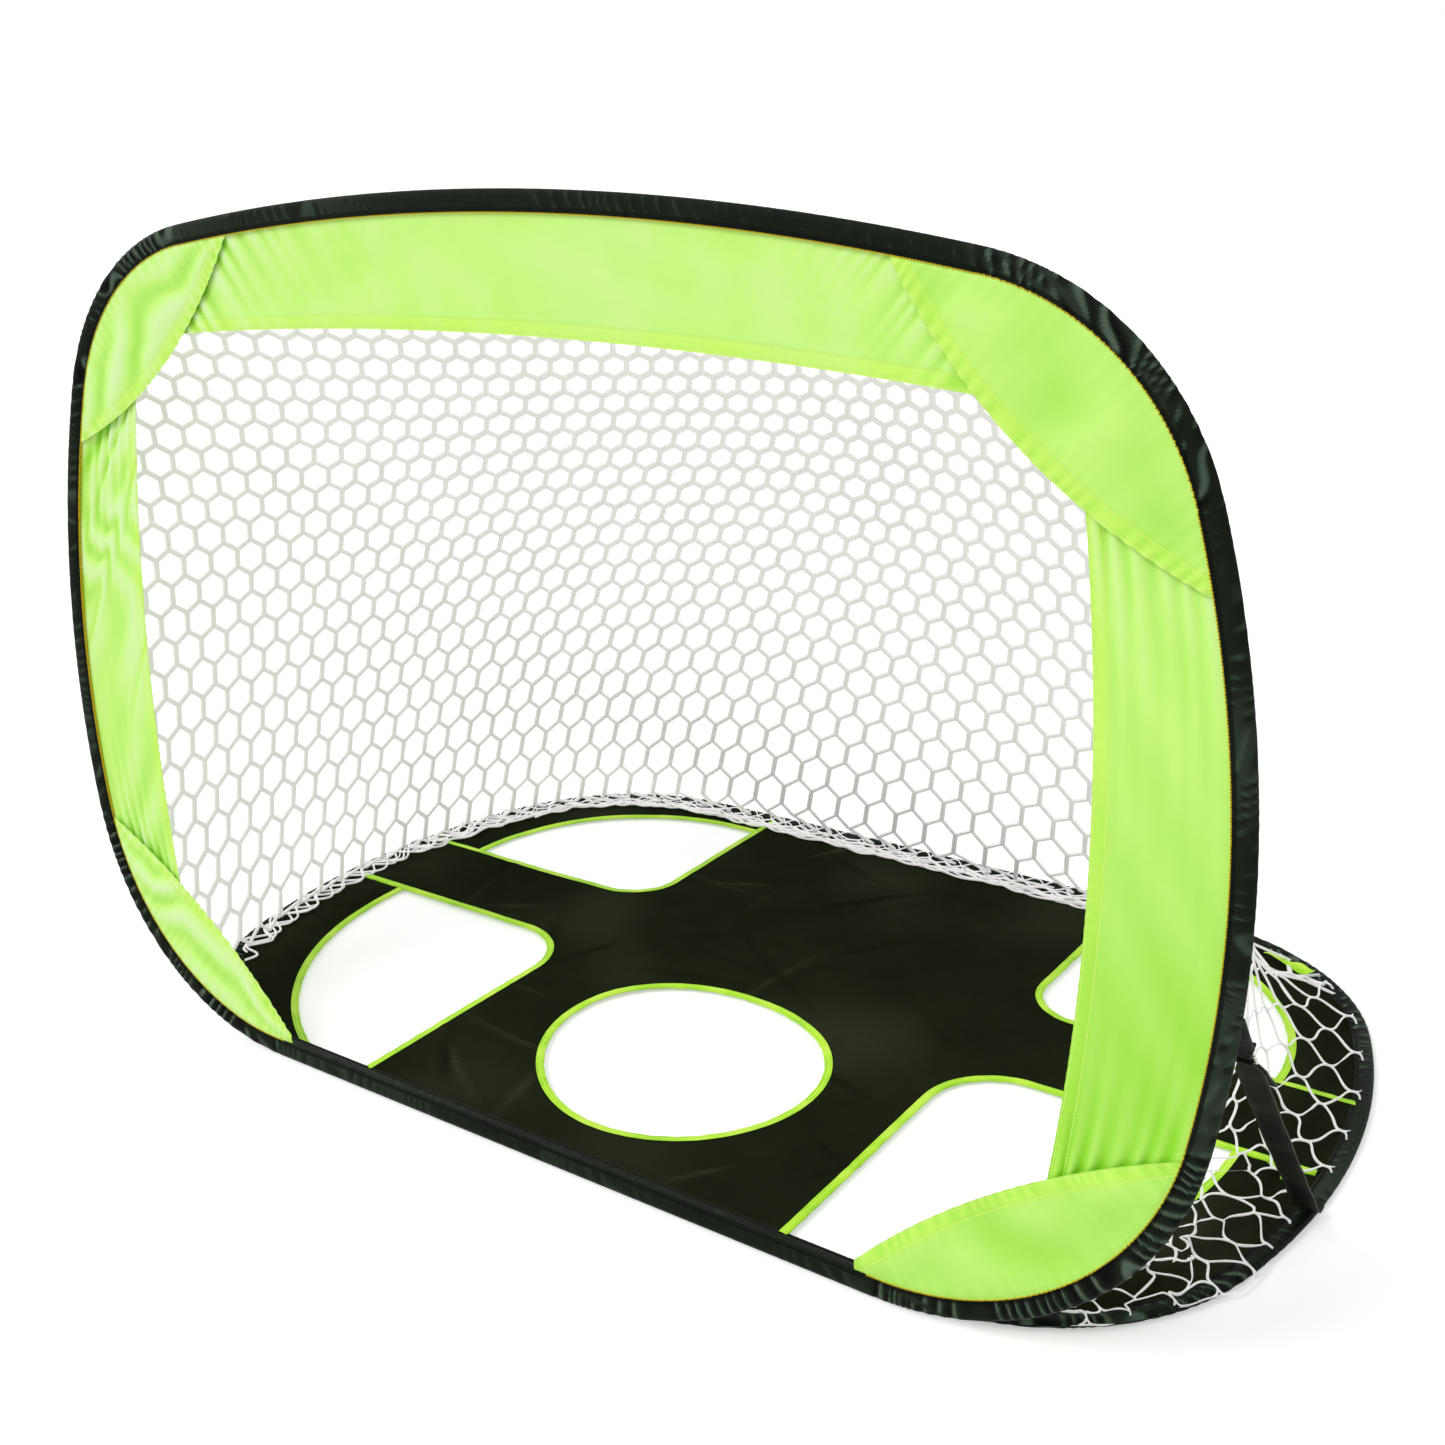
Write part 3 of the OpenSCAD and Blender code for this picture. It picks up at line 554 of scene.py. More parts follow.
def cloth_material(name, colours, seams, relief, pitch=0.0006, hem=None, shine=0.04):
    """Woven polyester with rows of stitches, each at a distance from the hem and with a
    length of stitch. Its colours are light, dark, the painted shade in a crease, the painted
    highlight on a ridge and the thread. A hem is a width and its colour."""
    light, dark, crease, ridge, thread = (srgb(*colour) for colour in colours)
    material, tree, shader = new_material(name, specular_ior_level=shine)
    uv = add_node(tree, "ShaderNodeUVMap", uv_map="cloth").outputs[0]
    fold = add_node(tree, "ShaderNodeAttribute", attribute_name="fold").outputs["Fac"]
    cloth = place_group(tree, weave, {"Vector": uv, "Light": light, "Dark": dark,
                                      "Pitch": pitch, "Crease": relief})
    colour, height = cloth["Color"], cloth["Height"]
    if hem:
        across = add_node(tree, "ShaderNodeSeparateXYZ", {0: uv}).outputs[1]
        double = sums(tree, "LESS_THAN", across, hem[0])
        colour = mix_colours(tree, double, colour, srgb(*hem[1]))
        height = sums(tree, "MULTIPLY_ADD", double, 0.00008, height)
    # The crease and ridge colours are painted shade and a painted highlight, laid on by the painted light that each
    # point keeps.
    colour = place_group(tree, lie, {"Color": colour, "Fold": fold, "Crease": crease,
                                     "Ridge": ridge})["Color"]
    for seam, length in seams:
        row = place_group(tree, stitches, {"Vector": uv, "Seam": seam, "Length": length,
                                           "Width": 0.0009})
        colour = mix_colours(tree, row["Mask"], colour, thread)
        height = sums(tree, "ADD", height, row["Height"])
    cover(tree, shader, colour, cloth["Roughness"], height)
    return material


# Black satin: light and dark, then the painted shade of its creases and the painted highlight of its ridges.
satin = ((27, 34, 25), (20, 26, 18), (4, 6, 4), (82, 98, 84))
ground_satin = cloth_material("black satin sleeve", (*satin, (9, 12, 9)), [(0.0152, 0.003)],
                              0.0008)
ground_sleeve = sleeve("ground_hoop_sleeve", 1500, ground_hoop, on_ground, 11, 0.0016,
                       "ground_wire")
dress(ground_sleeve, ground_satin, "ground_frame", "ground_sleeve", "black_cloth")


# ---- Target sheet ----
# A cross of black taffeta is sewn over four black corner pieces. It leaves a round hole in
# front and four corner holes. The sheet lies slack inside the ground hoop.
chance = np.random.RandomState(12)
crease_lines = [(chance.uniform(-0.5, 0.5), chance.uniform(0.03, 0.72), chance.uniform(0, math.pi),
                 chance.uniform(0.02, 0.09), chance.uniform(0.0025, 0.0055),
                 chance.choice((-1.0, 1.0)) * chance.uniform(0.35, 1)) for _ in range(46)]


def sheet_creases(x, y):
    """Short soft creases all over the sheet, above it where positive."""
    total = 0 * x
    for cx, cy, angle, half, width, depth in crease_lines:
        along = (x - cx) * math.cos(angle) + (y - cy) * math.sin(angle)
        off = (y - cy) * math.cos(angle) - (x - cx) * math.sin(angle) + 0.6 * along ** 2
        total = total + depth * np.exp(-(along / half) ** 2 - (off / width) ** 2)
    return np.clip(total, -1, 1)


def sheet_height(x, y):
    """How high the sheet lies over the floor: it sags a little and has soft waves."""
    sag = 0.0008 * np.clip(1 - (x / 0.5) ** 2, 0, 1) * np.clip(1 - ((y - 0.37) / 0.33) ** 2, 0, 1)
    wave = 0.0006 * ripples(x, y, 0.19, 5) + 0.0002 * ripples(x, y, 0.06, 6)
    return 0.0052 - sag + wave + 0.0008 * sheet_creases(x, y)


def lower_height(x, y):
    return sheet_height(x, y) - 0.0012


def ordered(at, value):
    """Two rows of numbers in the order of the first."""
    return np.array(sorted(zip(at, value))).T


sewn_at, cloth_t = 0.014, 0.0005
hoop_runs = np.linspace(0, 2 * ground_hoop["half"], 900, endpoint=False)
hem_x, hem_y, _ = hoop_point(ground_hoop, hoop_runs, sewn_at)
right_edge = ordered(hem_y[hem_x > 0], hem_x[hem_x > 0])
rear_edge = ordered(np.abs(hem_x[hem_y > 0.5]), hem_y[hem_y > 0.5])


def out_of_hoop(x, y):
    """Distance outside the line where the sheet is sewn in, negative within it."""
    gap = np.empty_like(x)
    for k in range(0, len(x), 2000):
        part = slice(k, k + 2000)
        gap[part] = np.sqrt(((x[part, None] - hem_x) ** 2 + (y[part, None] - hem_y) ** 2).min(1))
    inside = np.abs(x) < np.interp(y, *right_edge, left=0, right=0)
    inside |= (np.abs(x) < 0.3) & (y < np.interp(np.abs(x), *rear_edge))
    return np.where(inside & (y > sewn_at), -gap, gap)


def round_corner(x, y, centre_x, centre_y, radius, side_x, side_y):
    """Distance to a corner that is rounded off, negative within it."""
    dx, dy = side_x * (np.abs(x) - centre_x), side_y * (y - centre_y)
    outside = np.hypot(np.maximum(dx, 0), np.maximum(dy, 0))
    return outside + np.minimum(np.maximum(dx, dy), 0) - radius


# The rounded corners of the holes: centre, radius, and which way they bulge.
cross_front, cross_rear = (0.315, 0.268, 0.075, -1, 1), (0.302, 0.528, 0.062, -1, -1)
corner_front, corner_rear = (0.174, 0.320, 0.345, 1, -1), (0.278, 0.478, 0.235, 1, 1)
round_hole_y = 0.200


def hole_radius(angle):
    """The round hole's edge is drawn in a little unevenly by its binding."""
    return (0.147 + 0.004 * np.cos(angle) + 0.006 * np.cos(2 * angle + 0.68)
            + 0.003 * np.sin(3 * angle))


def out_of_cross(x, y):
    round_gap = np.hypot(x, y - round_hole_y) - hole_radius(np.arctan2(y - round_hole_y, x))
    return np.maximum.reduce([out_of_hoop(x, y), -round_corner(x, y, *cross_front),
                              -round_corner(x, y, *cross_rear), -round_gap])


def cut_sheet(name, box, step, outside, height):
    """A sheet cut to where outside(x, y) is negative, its edge trimmed to the line."""
    x0, y0, x1, y1 = box

    def surface(a, b):
        x, y = x0 + (x1 - x0) * a, y0 + (y1 - y0) * b
        return (x, y, 0 * x), (x, y), 0.5
    piece = cloth_grid(name, round((x1 - x0) / step), round((y1 - y0) / step), surface)
    form = bmesh.new()
    form.from_mesh(piece.data)
    centres = np.array([f.calc_center_median() for f in form.faces])
    cut = outside(centres[:, 0], centres[:, 1]) > 0
    bmesh.ops.delete(form, geom=[f for f, gone in zip(form.faces, cut) if gone], context="FACES")
    rim = [v for v in form.verts if v.is_boundary]
    x, y = np.array([v.co.x for v in rim]), np.array([v.co.y for v in rim])
    near = np.minimum.reduce([x - x0, x1 - x, y - y0, y1 - y]) > step / 2
    probe = 0.0005
    for _ in range(3):
        gap = outside(x, y)
        gx = (outside(x + probe, y) - outside(x - probe, y)) / (2 * probe)
        gy = (outside(x, y + probe) - outside(x, y - probe)) / (2 * probe)
        x, y = x - np.where(near, gap * gx, 0), y - np.where(near, gap * gy, 0)
    for v, vx, vy in zip(rim, x, y):
        v.co.x, v.co.y = vx, vy
    everywhere = np.array([v.co for v in form.verts])
    x, y = everywhere[:, 0], everywhere[:, 1]
    uv = form.loops.layers.uv["cloth"]
    for v, vz in zip(form.verts, height(x, y)):
        for loop in v.link_loops:
            loop[uv].uv = v.co.xy
        v.co = (v.co.x, v.co.y - half_sleeve, vz)
    form.to_mesh(piece.data)
    form.free()
    # Painted light and shade along the sheet's creases and soft waves.
    paint_light_and_shade(piece, 0.5 + 0.19 * sheet_creases(x, y) + 0.05 * ripples(x, y, 0.19, 5)
                + 0.05 * ripples(x, y, 0.33, 7))
    as_sheet(piece, cloth_t, "laid", "floor", "ground_sleeve")
    return piece


# Black taffeta: light and dark, the painted shade of its creases, the painted highlight of its crease ridges and the
# thread.
taffeta = cloth_material("black taffeta", ((35, 38, 25), (29, 32, 20), (10, 12, 6), (76, 82, 64),
                                           (8, 10, 7)), [], 0.0012, pitch=0.0007, shine=0.0)
cross = cut_sheet("target_cross_sheet", (-0.62, 0.0, 0.62, 0.78), 0.0055, out_of_cross,
                  sheet_height)
dress(cross, taffeta, "ground_frame", "target_cross", "black_cloth")
sides = ((-1, "left"), (1, "right"))
for side, name in sides:
    for end, corner, x0, y0, y1 in (("front", corner_front, 0.30, 0.0, 0.373),
                                    ("rear", corner_rear, 0.21, 0.436, 0.78)):
        x0, x1 = sorted((side * x0, side * 0.62))
        piece = cut_sheet(f"corner_sheet_{end}_{name}", (x0, y0, x1, y1), 0.007,
                          lambda x, y: np.maximum(out_of_hoop(x, y), -round_corner(x, y, *corner)),
                          lower_height)
        dress(piece, taffeta, "ground_frame", f"corner_{end}_{name}", "black_cloth")


# ---- Bindings of the target holes ----
# A neon tape is folded over the raw edge of every hole and sewn down through both sides.
def evenly(points, step):
    """The same line with its points about a step apart."""
    points = np.asarray(points, float)
    run = np.concatenate([[0], np.cumsum(np.hypot(*np.diff(points, axis=0).T))])
    places = np.linspace(0, run[-1], max(2, round(run[-1] / step) + 1))
    return np.column_stack([np.interp(places, run, points[:, k]) for k in (0, 1)]), places


# Neon tape: light and dark, the painted shade of its creases, the painted highlight of its ridges and the thread.
tape = cloth_material("neon binding tape", ((196, 250, 48), (174, 238, 30), (140, 214, 10),
                                            (222, 255, 96), (214, 255, 84)), [(0.0022, 0.0028)],
                      0.0004, pitch=0.0009, shine=0.3)


def binding(name, line, mirror, height, node, closed=False):
    """A tape folded over an edge. The hole lies to the left of the line."""
    points, run = evenly(line, 0.006)
    heading = np.gradient(points, axis=0)
    if closed:
        heading[0] = heading[-1] = points[1] - points[-2]
    heading /= np.hypot(*heading.T)[:, None]
    count, width = len(points) - 1, 0.008

    def surface(a, b):
        k = np.clip(np.round(a * count).astype(int), 0, count)
        over = np.where(b < 0.5, b * 2, 2 - b * 2)
        face = np.where(b < 0.5, 1.0, -1.0)
        pucker = 0.0003 * np.sin(run[k] / 0.0048 * 2 * math.pi + 3 * wander(run[k], 0.03, 41))
        out = -0.001 + width * np.sin(over * math.pi / 2) ** 0.8 + pucker * over
        x = points[k, 0] - heading[k, 1] * out
        y = points[k, 1] + heading[k, 0] * out
        plump = 0.0009 * np.cos(over * math.pi / 2) ** 0.5 + 0.0002 * (1 + np.sin(over * 9))
        z = height(mirror * x, y) + face * (plump + 0.3 * pucker)
        # The tape's painted light and shade change at random along it.
        fold = (0.5 + 0.25 * wander(run[k], 0.02, 43)
                + 0.15 * wander(run[k] + over * 0.01, 0.006, 44))
        return (mirror * x, y - half_sleeve, z), (run[k], width * over), fold
    piece = cloth_grid(name, count, 14, surface)
    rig.sheet(piece, held="folded", rests_on=["target_cross"], **cut_of(piece, 2))
    tidy_shell(piece)
    dress(piece, tape, "ground_frame", node, "neon_binding")


def edge_line(corner, start, end, before=(), after=()):
    """A corner hole's edge: its rounded corner between two directions, with the points
    before and after it."""
    a = np.radians(np.linspace(start, end, 40))
    arc = np.column_stack([corner[0] + corner[2] * np.cos(a), corner[1] + corner[2] * np.sin(a)])
    return [*before, *arc, *after]


turn = np.radians(np.linspace(0, 360, 200))
round_rim = (np.column_stack([np.cos(turn), np.sin(turn)]) * hole_radius(turn)[:, None]
             + (0, round_hole_y))
binding("round_hole_tape", round_rim, 1, sheet_height, "round_hole_binding", closed=True)
for side, name in sides:
    for part, end, line, height in (
            ("cross", "front", edge_line(cross_front, 90, 180, [(0.585, 0.343)],
                                         [(0.240, 0.016)]), sheet_height),
            ("cross", "rear", edge_line(cross_rear, 180, 270, [(0.240, 0.755)],
                                        [(0.590, 0.466)]), sheet_height),
            ("corner", "front", edge_line(corner_front, -66, 0, after=[(0.519, 0.343)]),
             lower_height),
            ("corner", "rear", edge_line(corner_rear, 0, 90, [(0.513, 0.466)],
                                         [(0.240, 0.713)]), lower_height)):
        binding(f"{part}_tape_{end}_{name}", line, side, height, f"{part}_binding_{end}_{name}")


# ---- Hinge strip ----
# A black cotton strip is sewn to both sleeves along the goal line and holds them together.
def hinge_surface(a, b):
    x = -0.345 + 0.690 * a
    y = -0.0093 + 0.0001 * np.sin(x / 0.004)
    # The strip's painted light and shade change at random along it.
    return (x, y, 0.001 + 0.0077 * b), (x, 0.0077 * b), 0.5 + 0.3 * wander(x, 0.02, 77)


strip = cloth_grid("hinge_strip", 230, 4, hinge_surface)
# Black cotton: light and dark, the painted shade of its creases, the painted highlight of its ridges and the thread.
cotton = cloth_material("black hinge cotton", ((27, 31, 25), (18, 21, 17), (8, 10, 8),
                                               (44, 50, 42), (52, 58, 50)), [(0.0038, 0.003)],
                        0.0005)
thicken(strip, 0.0003)
dress(strip, cotton, "ground_frame", "hinge_tape", "black_cloth")


# ---- Front hoop's sleeve ----
# The same ruched black tube as the ground hoop's. A yellow thread shows where the neon
# cloth is sewn into its inner edge.
lean, hinge_y, hinge_z = math.radians(2.5), -0.0096, 0.009


def upright(x, h, z):
    """From the front hoop's own plane, which leans back, to the goal's frame."""
    y0, z0 = -z - 0.0051, h - half_sleeve
    return (x, hinge_y + y0 * math.cos(lean) + z0 * math.sin(lean),
            hinge_z - y0 * math.sin(lean) + z0 * math.cos(lean))


front_satin = cloth_material("black satin front sleeve", (*satin, (222, 190, 30)),
                             [(0.0176, 0.0024)], 0.0008)
front_sleeve = sleeve("front_hoop_sleeve", 1560, front_hoop, upright, 23, 0.0017, "front_wire")
dress(front_sleeve, front_satin, "front_frame", "front_sleeve", "black_cloth")
front_sleeve.data.materials.append(ground_satin)
for face in front_sleeve.data.polygons:
    face.material_index = int(face.center.z < 0.04 and abs(face.center.x) < 0.335)


# ---- Top band ----
# A neon band is stretched over the top of the mouth. Its lower edge is hemmed and bows
# down a little in the middle, and its ends are gathered under the corner panels.
# Neon cloth: light and dark, the painted shade of its creases, the painted highlight of its ridges and the thread.
neon = ((209, 255, 131), (198, 252, 113), (148, 226, 34), (226, 255, 188), (214, 255, 122))
neon_hem = (206, 255, 104)
band_cloth = cloth_material("neon taffeta", neon, [(0.0105, 0.0028), (0.0016, 0.0028)], 0.0016,
                            hem=(0.0118, neon_hem), shine=0.35)
front_runs = np.linspace(0, front_hoop["half"], 3000)
band_sewn_at = 0.0145
edge_x, edge_y, _ = hoop_point(front_hoop, front_runs, band_sewn_at)
high = edge_y > 0.6
top_corner = ((0.328, 0.793), (0.563, 0.596), 0.025)
low_corner = ((0.574, 0.204), (0.325, 0.027), 0.017)


def hem_gap(x, h, corner):
    """How far a place lies from a corner panel's hem, towards the mouth."""
    (x0, h0), (x1, h1), bow = corner
    length = math.hypot(x1 - x0, h1 - h0)
    along = ((x - x0) * (x1 - x0) + (h - h0) * (h1 - h0)) / length ** 2
    off = ((x - x0) * (h1 - h0) - (h - h0) * (x1 - x0)) / length
    return np.maximum(off - 4 * bow * np.clip(along * (1 - along), 0, 1), 0), along


def top_surface(a, b):
    x, bow = -0.425 + 0.850 * a, 4.300
    low = 0.726 - bow + np.sqrt(bow ** 2 - x ** 2)
    top = np.interp(np.abs(x), edge_x[high][::-1], edge_y[high][::-1])
    h = low + (top - low) * b
    gap, along = hem_gap(np.abs(x), h, top_corner)
    left = x < 0
    near = np.exp(-gap / np.where(left, 0.030, 0.020))
    turns = np.where(left, along * 15 + 0.9 * wander(along * 0.3, 0.03, 3),
                     along * 22 + 0.8 * wander(along * 0.3, 0.02, 4))
    pleat = np.cos(2 * math.pi * turns)
    soft = ripples(x, h * 0.5, 0.13, 8)
    z = -0.0009 - 0.0006 * near * (1 - pleat) + 0.0007 * soft * np.sin(math.pi * b)
    pucker = 0.0003 * np.sin(x / 0.0016) * (np.exp(-(h - low) / 0.006) + np.exp(-(top - h) / 0.006))
    # Painted highlight on the pleats' crests and painted shade between them near the corner panel, soft painted
    # patches, and painted lighter towards the left end.
    fold = (0.5 + np.where(left, 0.46, 0.24) * pleat * near + 0.08 * soft
            + 0.04 * ripples(x, h, 0.05, 9) + 0.10 * np.clip(-x / 0.4, 0, 1))
    return upright(x, h, np.minimum(z, -0.0005) + pucker), (x, h - low), fold


top_band = cloth_grid("top_band_cloth", 360, 44, top_surface)
as_sheet(top_band, cloth_t, "stretched", "front_sleeve")
dress(top_band, band_cloth, "front_frame", "top_band", "neon_cloth")


# ---- Side bands ----
# A neon band down each side of the mouth. Both its ends are gathered under the corner
# panels, and the pleats run out along the band. The left one hangs slacker.
rising = edge_y < 0.7


def band_surface(side, seed):
    bow = 1.730

    def surface(a, b):
        h = 0.150 + 0.505 * a
        outer = np.interp(h, edge_y[rising], edge_x[rising])
        inner = 0.495 - bow + np.sqrt(bow ** 2 - (h - 0.380) ** 2)
        x = inner + (outer - inner) * b
        depth, fold = 0.0, 0.5
        for corner, count, reach, skew in ((top_corner, 6.0, 0.050, 0.25),
                                           (low_corner, 7.0, 0.034, -0.30)):
            gap, _ = hem_gap(x, h, corner)
            near = np.exp(-gap / reach) * (0.65 + 0.35 * wander(b, 0.21, seed + 6))
            phase = count * (b ** 0.85) + skew * gap / 0.05 * (b - 0.4) + 0.5 * wander(b, 0.3, seed)
            pleat = np.cos(2 * math.pi * phase)
            pleat = pleat * (0.75 + 0.25 * wander(gap + 0.4 * b, 0.03, seed + 7))
            depth = depth + 0.0026 * near * (1 - pleat)
            # Painted highlight on the pleats' crests and painted shade between them; the left band is painted darker
            # near its top panel, towards the hoop.
            fold = fold + (0.62 if side < 0 else 0.40) * near * pleat
            if side < 0 and corner is top_corner:
                fold = fold - 0.45 * near * np.clip((b - 0.35) / 0.4, 0, 1)
        if side < 0:
            upper = np.clip((h - 0.30) / 0.10, 0, 1)
            streak = np.sin(2 * math.pi * (2.3 * b + 0.8 * wander(h, 0.11, seed + 1)
                                           + 0.35 * wander(h + 0.2 * b, 0.035, seed + 2)))
            slope = np.sin(2 * math.pi * ((x - 0.4) + 0.42 * (h - 0.2)) / 0.052
                           + 1.6 * wander(h, 0.09, seed + 3))
            slack = upper * streak + 0.7 * (1 - upper) * slope * np.exp(-((b - 0.35) / 0.4) ** 2)
            patch = 0.55 + 0.45 * wander(h + 0.1 * b, 0.07, seed + 4)
            depth = depth + 0.0016 * (1 - slack * patch)
            # The left band has painted light and shade along its slack streaks and is painted lighter in its upper
            # part.
            fold = fold + 0.12 * upper - 0.02 + 0.50 * slack * patch
        else:
            soft = ripples(x + 0.5 * h, 0.3 * h, 0.06, seed + 4)
            depth = depth + 0.0006 * (1 + soft)
            # The right band has soft painted patches and painted shade that grows darker towards its bottom.
            fold = fold + 0.06 * soft - 1.2 * np.clip(0.53 - h, 0, 0.30)
        z = -0.0008 - depth * np.clip(5 * b, 0.2, 1) * np.clip(5 * (1 - b), 0, 1)
        pucker = 0.0003 * np.sin(h / 0.0016) * np.exp(-(x - inner) / 0.006)
        return upright(side * x, h, z + pucker), (h, x - inner), fold
    return surface


for side, name, seed in ((-1, "left", 60), (1, "right", 70)):
    band = cloth_grid(f"{name}_band_cloth", 260, 90, band_surface(side, seed))
    as_sheet(band, cloth_t, "gathered", "front_sleeve")
    dress(band, band_cloth, "front_frame", f"{name}_band", "neon_cloth")


# ---- Corner panels ----
# A neon gusset closes each corner of the hoop. It lies over the ends of the bands, its hem
# is drawn in by the stitching, and soft folds run from the hem to the hoop.
def panel_surface(side, corner, seed):
    """Its hem is an arc over the corner's chord, and its other edge follows the hoop."""
    start, end, bow = np.array(corner[0]), np.array(corner[1]), corner[2]
    chord = end - start
    half = np.hypot(*chord) / 2
    radius = (half * half + bow * bow) / (2 * bow)
    away = np.array([chord[1], -chord[0]]) / (2 * half)
    centre = (start + end) / 2 - away * (radius - bow)
    middle = math.atan2(away[1], away[0])
    turn = math.copysign(math.asin(half / radius), away[0] * chord[1] - away[1] * chord[0])
    ends = [front_runs[np.argmin(np.hypot(edge_x - p[0], edge_y - p[1]))] for p in (start, end)]

    def surface(a, b):
        angle = middle + turn * (2 * a - 1)
        hem_at = centre[:, None] + radius * np.array([np.cos(angle), np.sin(angle)])
        ox, oy, _ = hoop_point(front_hoop, ends[0] + (ends[1] - ends[0]) * a, band_sewn_at)
        x, h = hem_at[0] + (ox - hem_at[0]) * b, hem_at[1] + (oy - hem_at[1]) * b
        deep = np.hypot(ox - hem_at[0], oy - hem_at[1])
        run = a * 2 * half
        inward = (1 - b) * deep
        rise = np.clip(inward / 0.007, 0, 1) ** 2
        belly = np.sin(math.pi * b ** 0.8) * np.clip(deep / 0.06, 0, 1)
        count, skew, weight, fine = (1.9, 1.5, 0.32, 0.7) if side < 0 else (2.6, 0.45, 0.10, 0.2)
        folds = np.cos(2 * math.pi * (count * a + skew * b + 0.55 * wander(run, 0.07, seed)
                                      + 0.15 * wander(run + inward, 0.03, seed + 3)))
        small = np.cos(2 * math.pi * (run / 0.0125 + 1.3 * wander(run, 0.03, seed + 1)))
        drawn = np.exp(-inward / 0.016) * np.clip(deep / 0.03, 0, 1)
        gathered = np.exp(-b * deep / 0.008)
        soft = ripples(x, h, 0.06, seed + 2)
        z = 0.0004 + rise * (0.0005 + belly * (0.0013 * (1 + folds) + 0.0004 * soft)
                             + 0.0006 * (1 + small) * drawn * fine
                             + 0.0005 * (1 + small) * gathered)
        # Painted shade: each panel has an overall shade of its own, the right ones darker and the lower right darkest,
        # with painted light and shade along its folds, its drawn hem and its gathers.
        painted_panel_shade = {(1, 0): 0.42, (1, 1): 0.34, (-1, 0): 0.55, (-1, 1): 0.58}[side, int(h.mean() < 0.4)]
        fold = (painted_panel_shade + belly * (weight * folds + 0.07 * soft) + 0.26 * small * drawn * fine
                + 0.16 * small * gathered)
        return upright(side * x, h, z), (run, b * deep), fold
    return surface


panel_cloth = cloth_material("neon panel taffeta", neon, [(0.0115, 0.003), (0.0018, 0.003)],
                             0.0018, hem=(0.0130, neon_hem), shine=0.35)
for side, name in sides:
    for part, corner, seed in (("top", top_corner, 81), ("low", low_corner, 91)):
        panel = cloth_grid(f"panel_{part}_{name}_cloth", 170, 70,
                           panel_surface(side, corner, seed + side))
        as_sheet(panel, cloth_t, "stretched", "front_sleeve")
        dress(panel, panel_cloth, "front_frame", f"panel_{part}_{name}", "neon_cloth")


# ---- Net ----
# A knotless white twine net hangs from the back of the front hoop. It comes down to lie on
# the target sheet and is sewn to the ground hoop's sleeve. Where it has more cloth than it
# needs, on the sheet and at both ends of the goal line, it lies bunched.
def net_edge(ring, u, inset):
    """Places along a hoop for u from the net's left end, low on the hoop, to its right end."""
    start = ring["straight"] / 2 + 0.110
    run = start + (ring["half"] - start) * (1 - np.abs(2 * u - 1))
    x, y, _ = hoop_point(ring, run, inset)
    return np.where(u < 0.5, -x, x), y


def net_point(u, v):
    """A place on the net: u from the left end to the right, v from the front hoop down.
    It follows a curve from the top to the foot that is drawn towards hang and lay."""
    u, v = np.broadcast_arrays(np.asarray(u, float), np.asarray(v, float))
    x, h = net_edge(front_hoop, u, 0.031)
    top = np.stack(upright(x, h, -0.008), -1)
    x, y = net_edge(ground_hoop, u, 0.010)
    foot = np.stack(on_ground(x, y, 0 * x + 0.0060), -1)
    reach = np.linalg.norm(foot - top, axis=-1)
    over = 0.060 + 0.070 * np.clip((u - 0.5) / 0.15, 0, 1)
    x, y = net_edge(ground_hoop, u, 0.031 + np.minimum(over, 0.35 * reach))
    lay = np.stack(on_ground(x, y, 0 * x + 0.0032), -1)
    hang = top + (foot - top) / 3
    hang[..., 2] -= np.minimum(0.060, 0.15 * reach)
    w, v = (1 - v)[..., None], v[..., None]
    return top * w ** 3 + hang * 3 * w * w * v + lay * 3 * w * v * v + foot * v ** 3


def lattice(columns, rows, square, bends):
    """Corners (i, j) of six-sided meshes over the columns and rows, and the meshes. Their
    sides are drawn in soft curves where they have more than one bend."""
    part = np.linspace(0, 1, bends + 1)
    across, down = 0.25 * (1 - np.cos(math.pi * part)), (1 - 2 * square) * part
    ring = ([(p, square - 1 + q) for p, q in zip(across, down)]
            + [(0.5 - p, square + q) for p, q in zip(across, down)]
            + [(p - 0.5, square + q) for p, q in zip(across[-2::-1], down[-2::-1])]
            + [(-p, square - 1 + q) for p, q in zip(across[:0:-1], down[:0:-1])])
    number, corners, meshes = {}, [], []
    for j in rows:
        for i in columns:
            mesh = []
            for di, dj in ring:
                corner = (i + 0.5 * (j % 2) + di, j + dj)
                key = (round(corner[0] * 40), round(corner[1] * 400))
                if key not in number:
                    number[key] = len(corners)
                    corners.append(corner)
                mesh.append(number[key])
            meshes.append(mesh)
    return np.array(corners), meshes


def new_piece(name, data):
    """A new mesh's or curve's object, put in the scene and picked."""
    piece = bpy.data.objects.new(name, data)
    bpy.context.collection.objects.link(piece)
    pick(piece)
    return piece


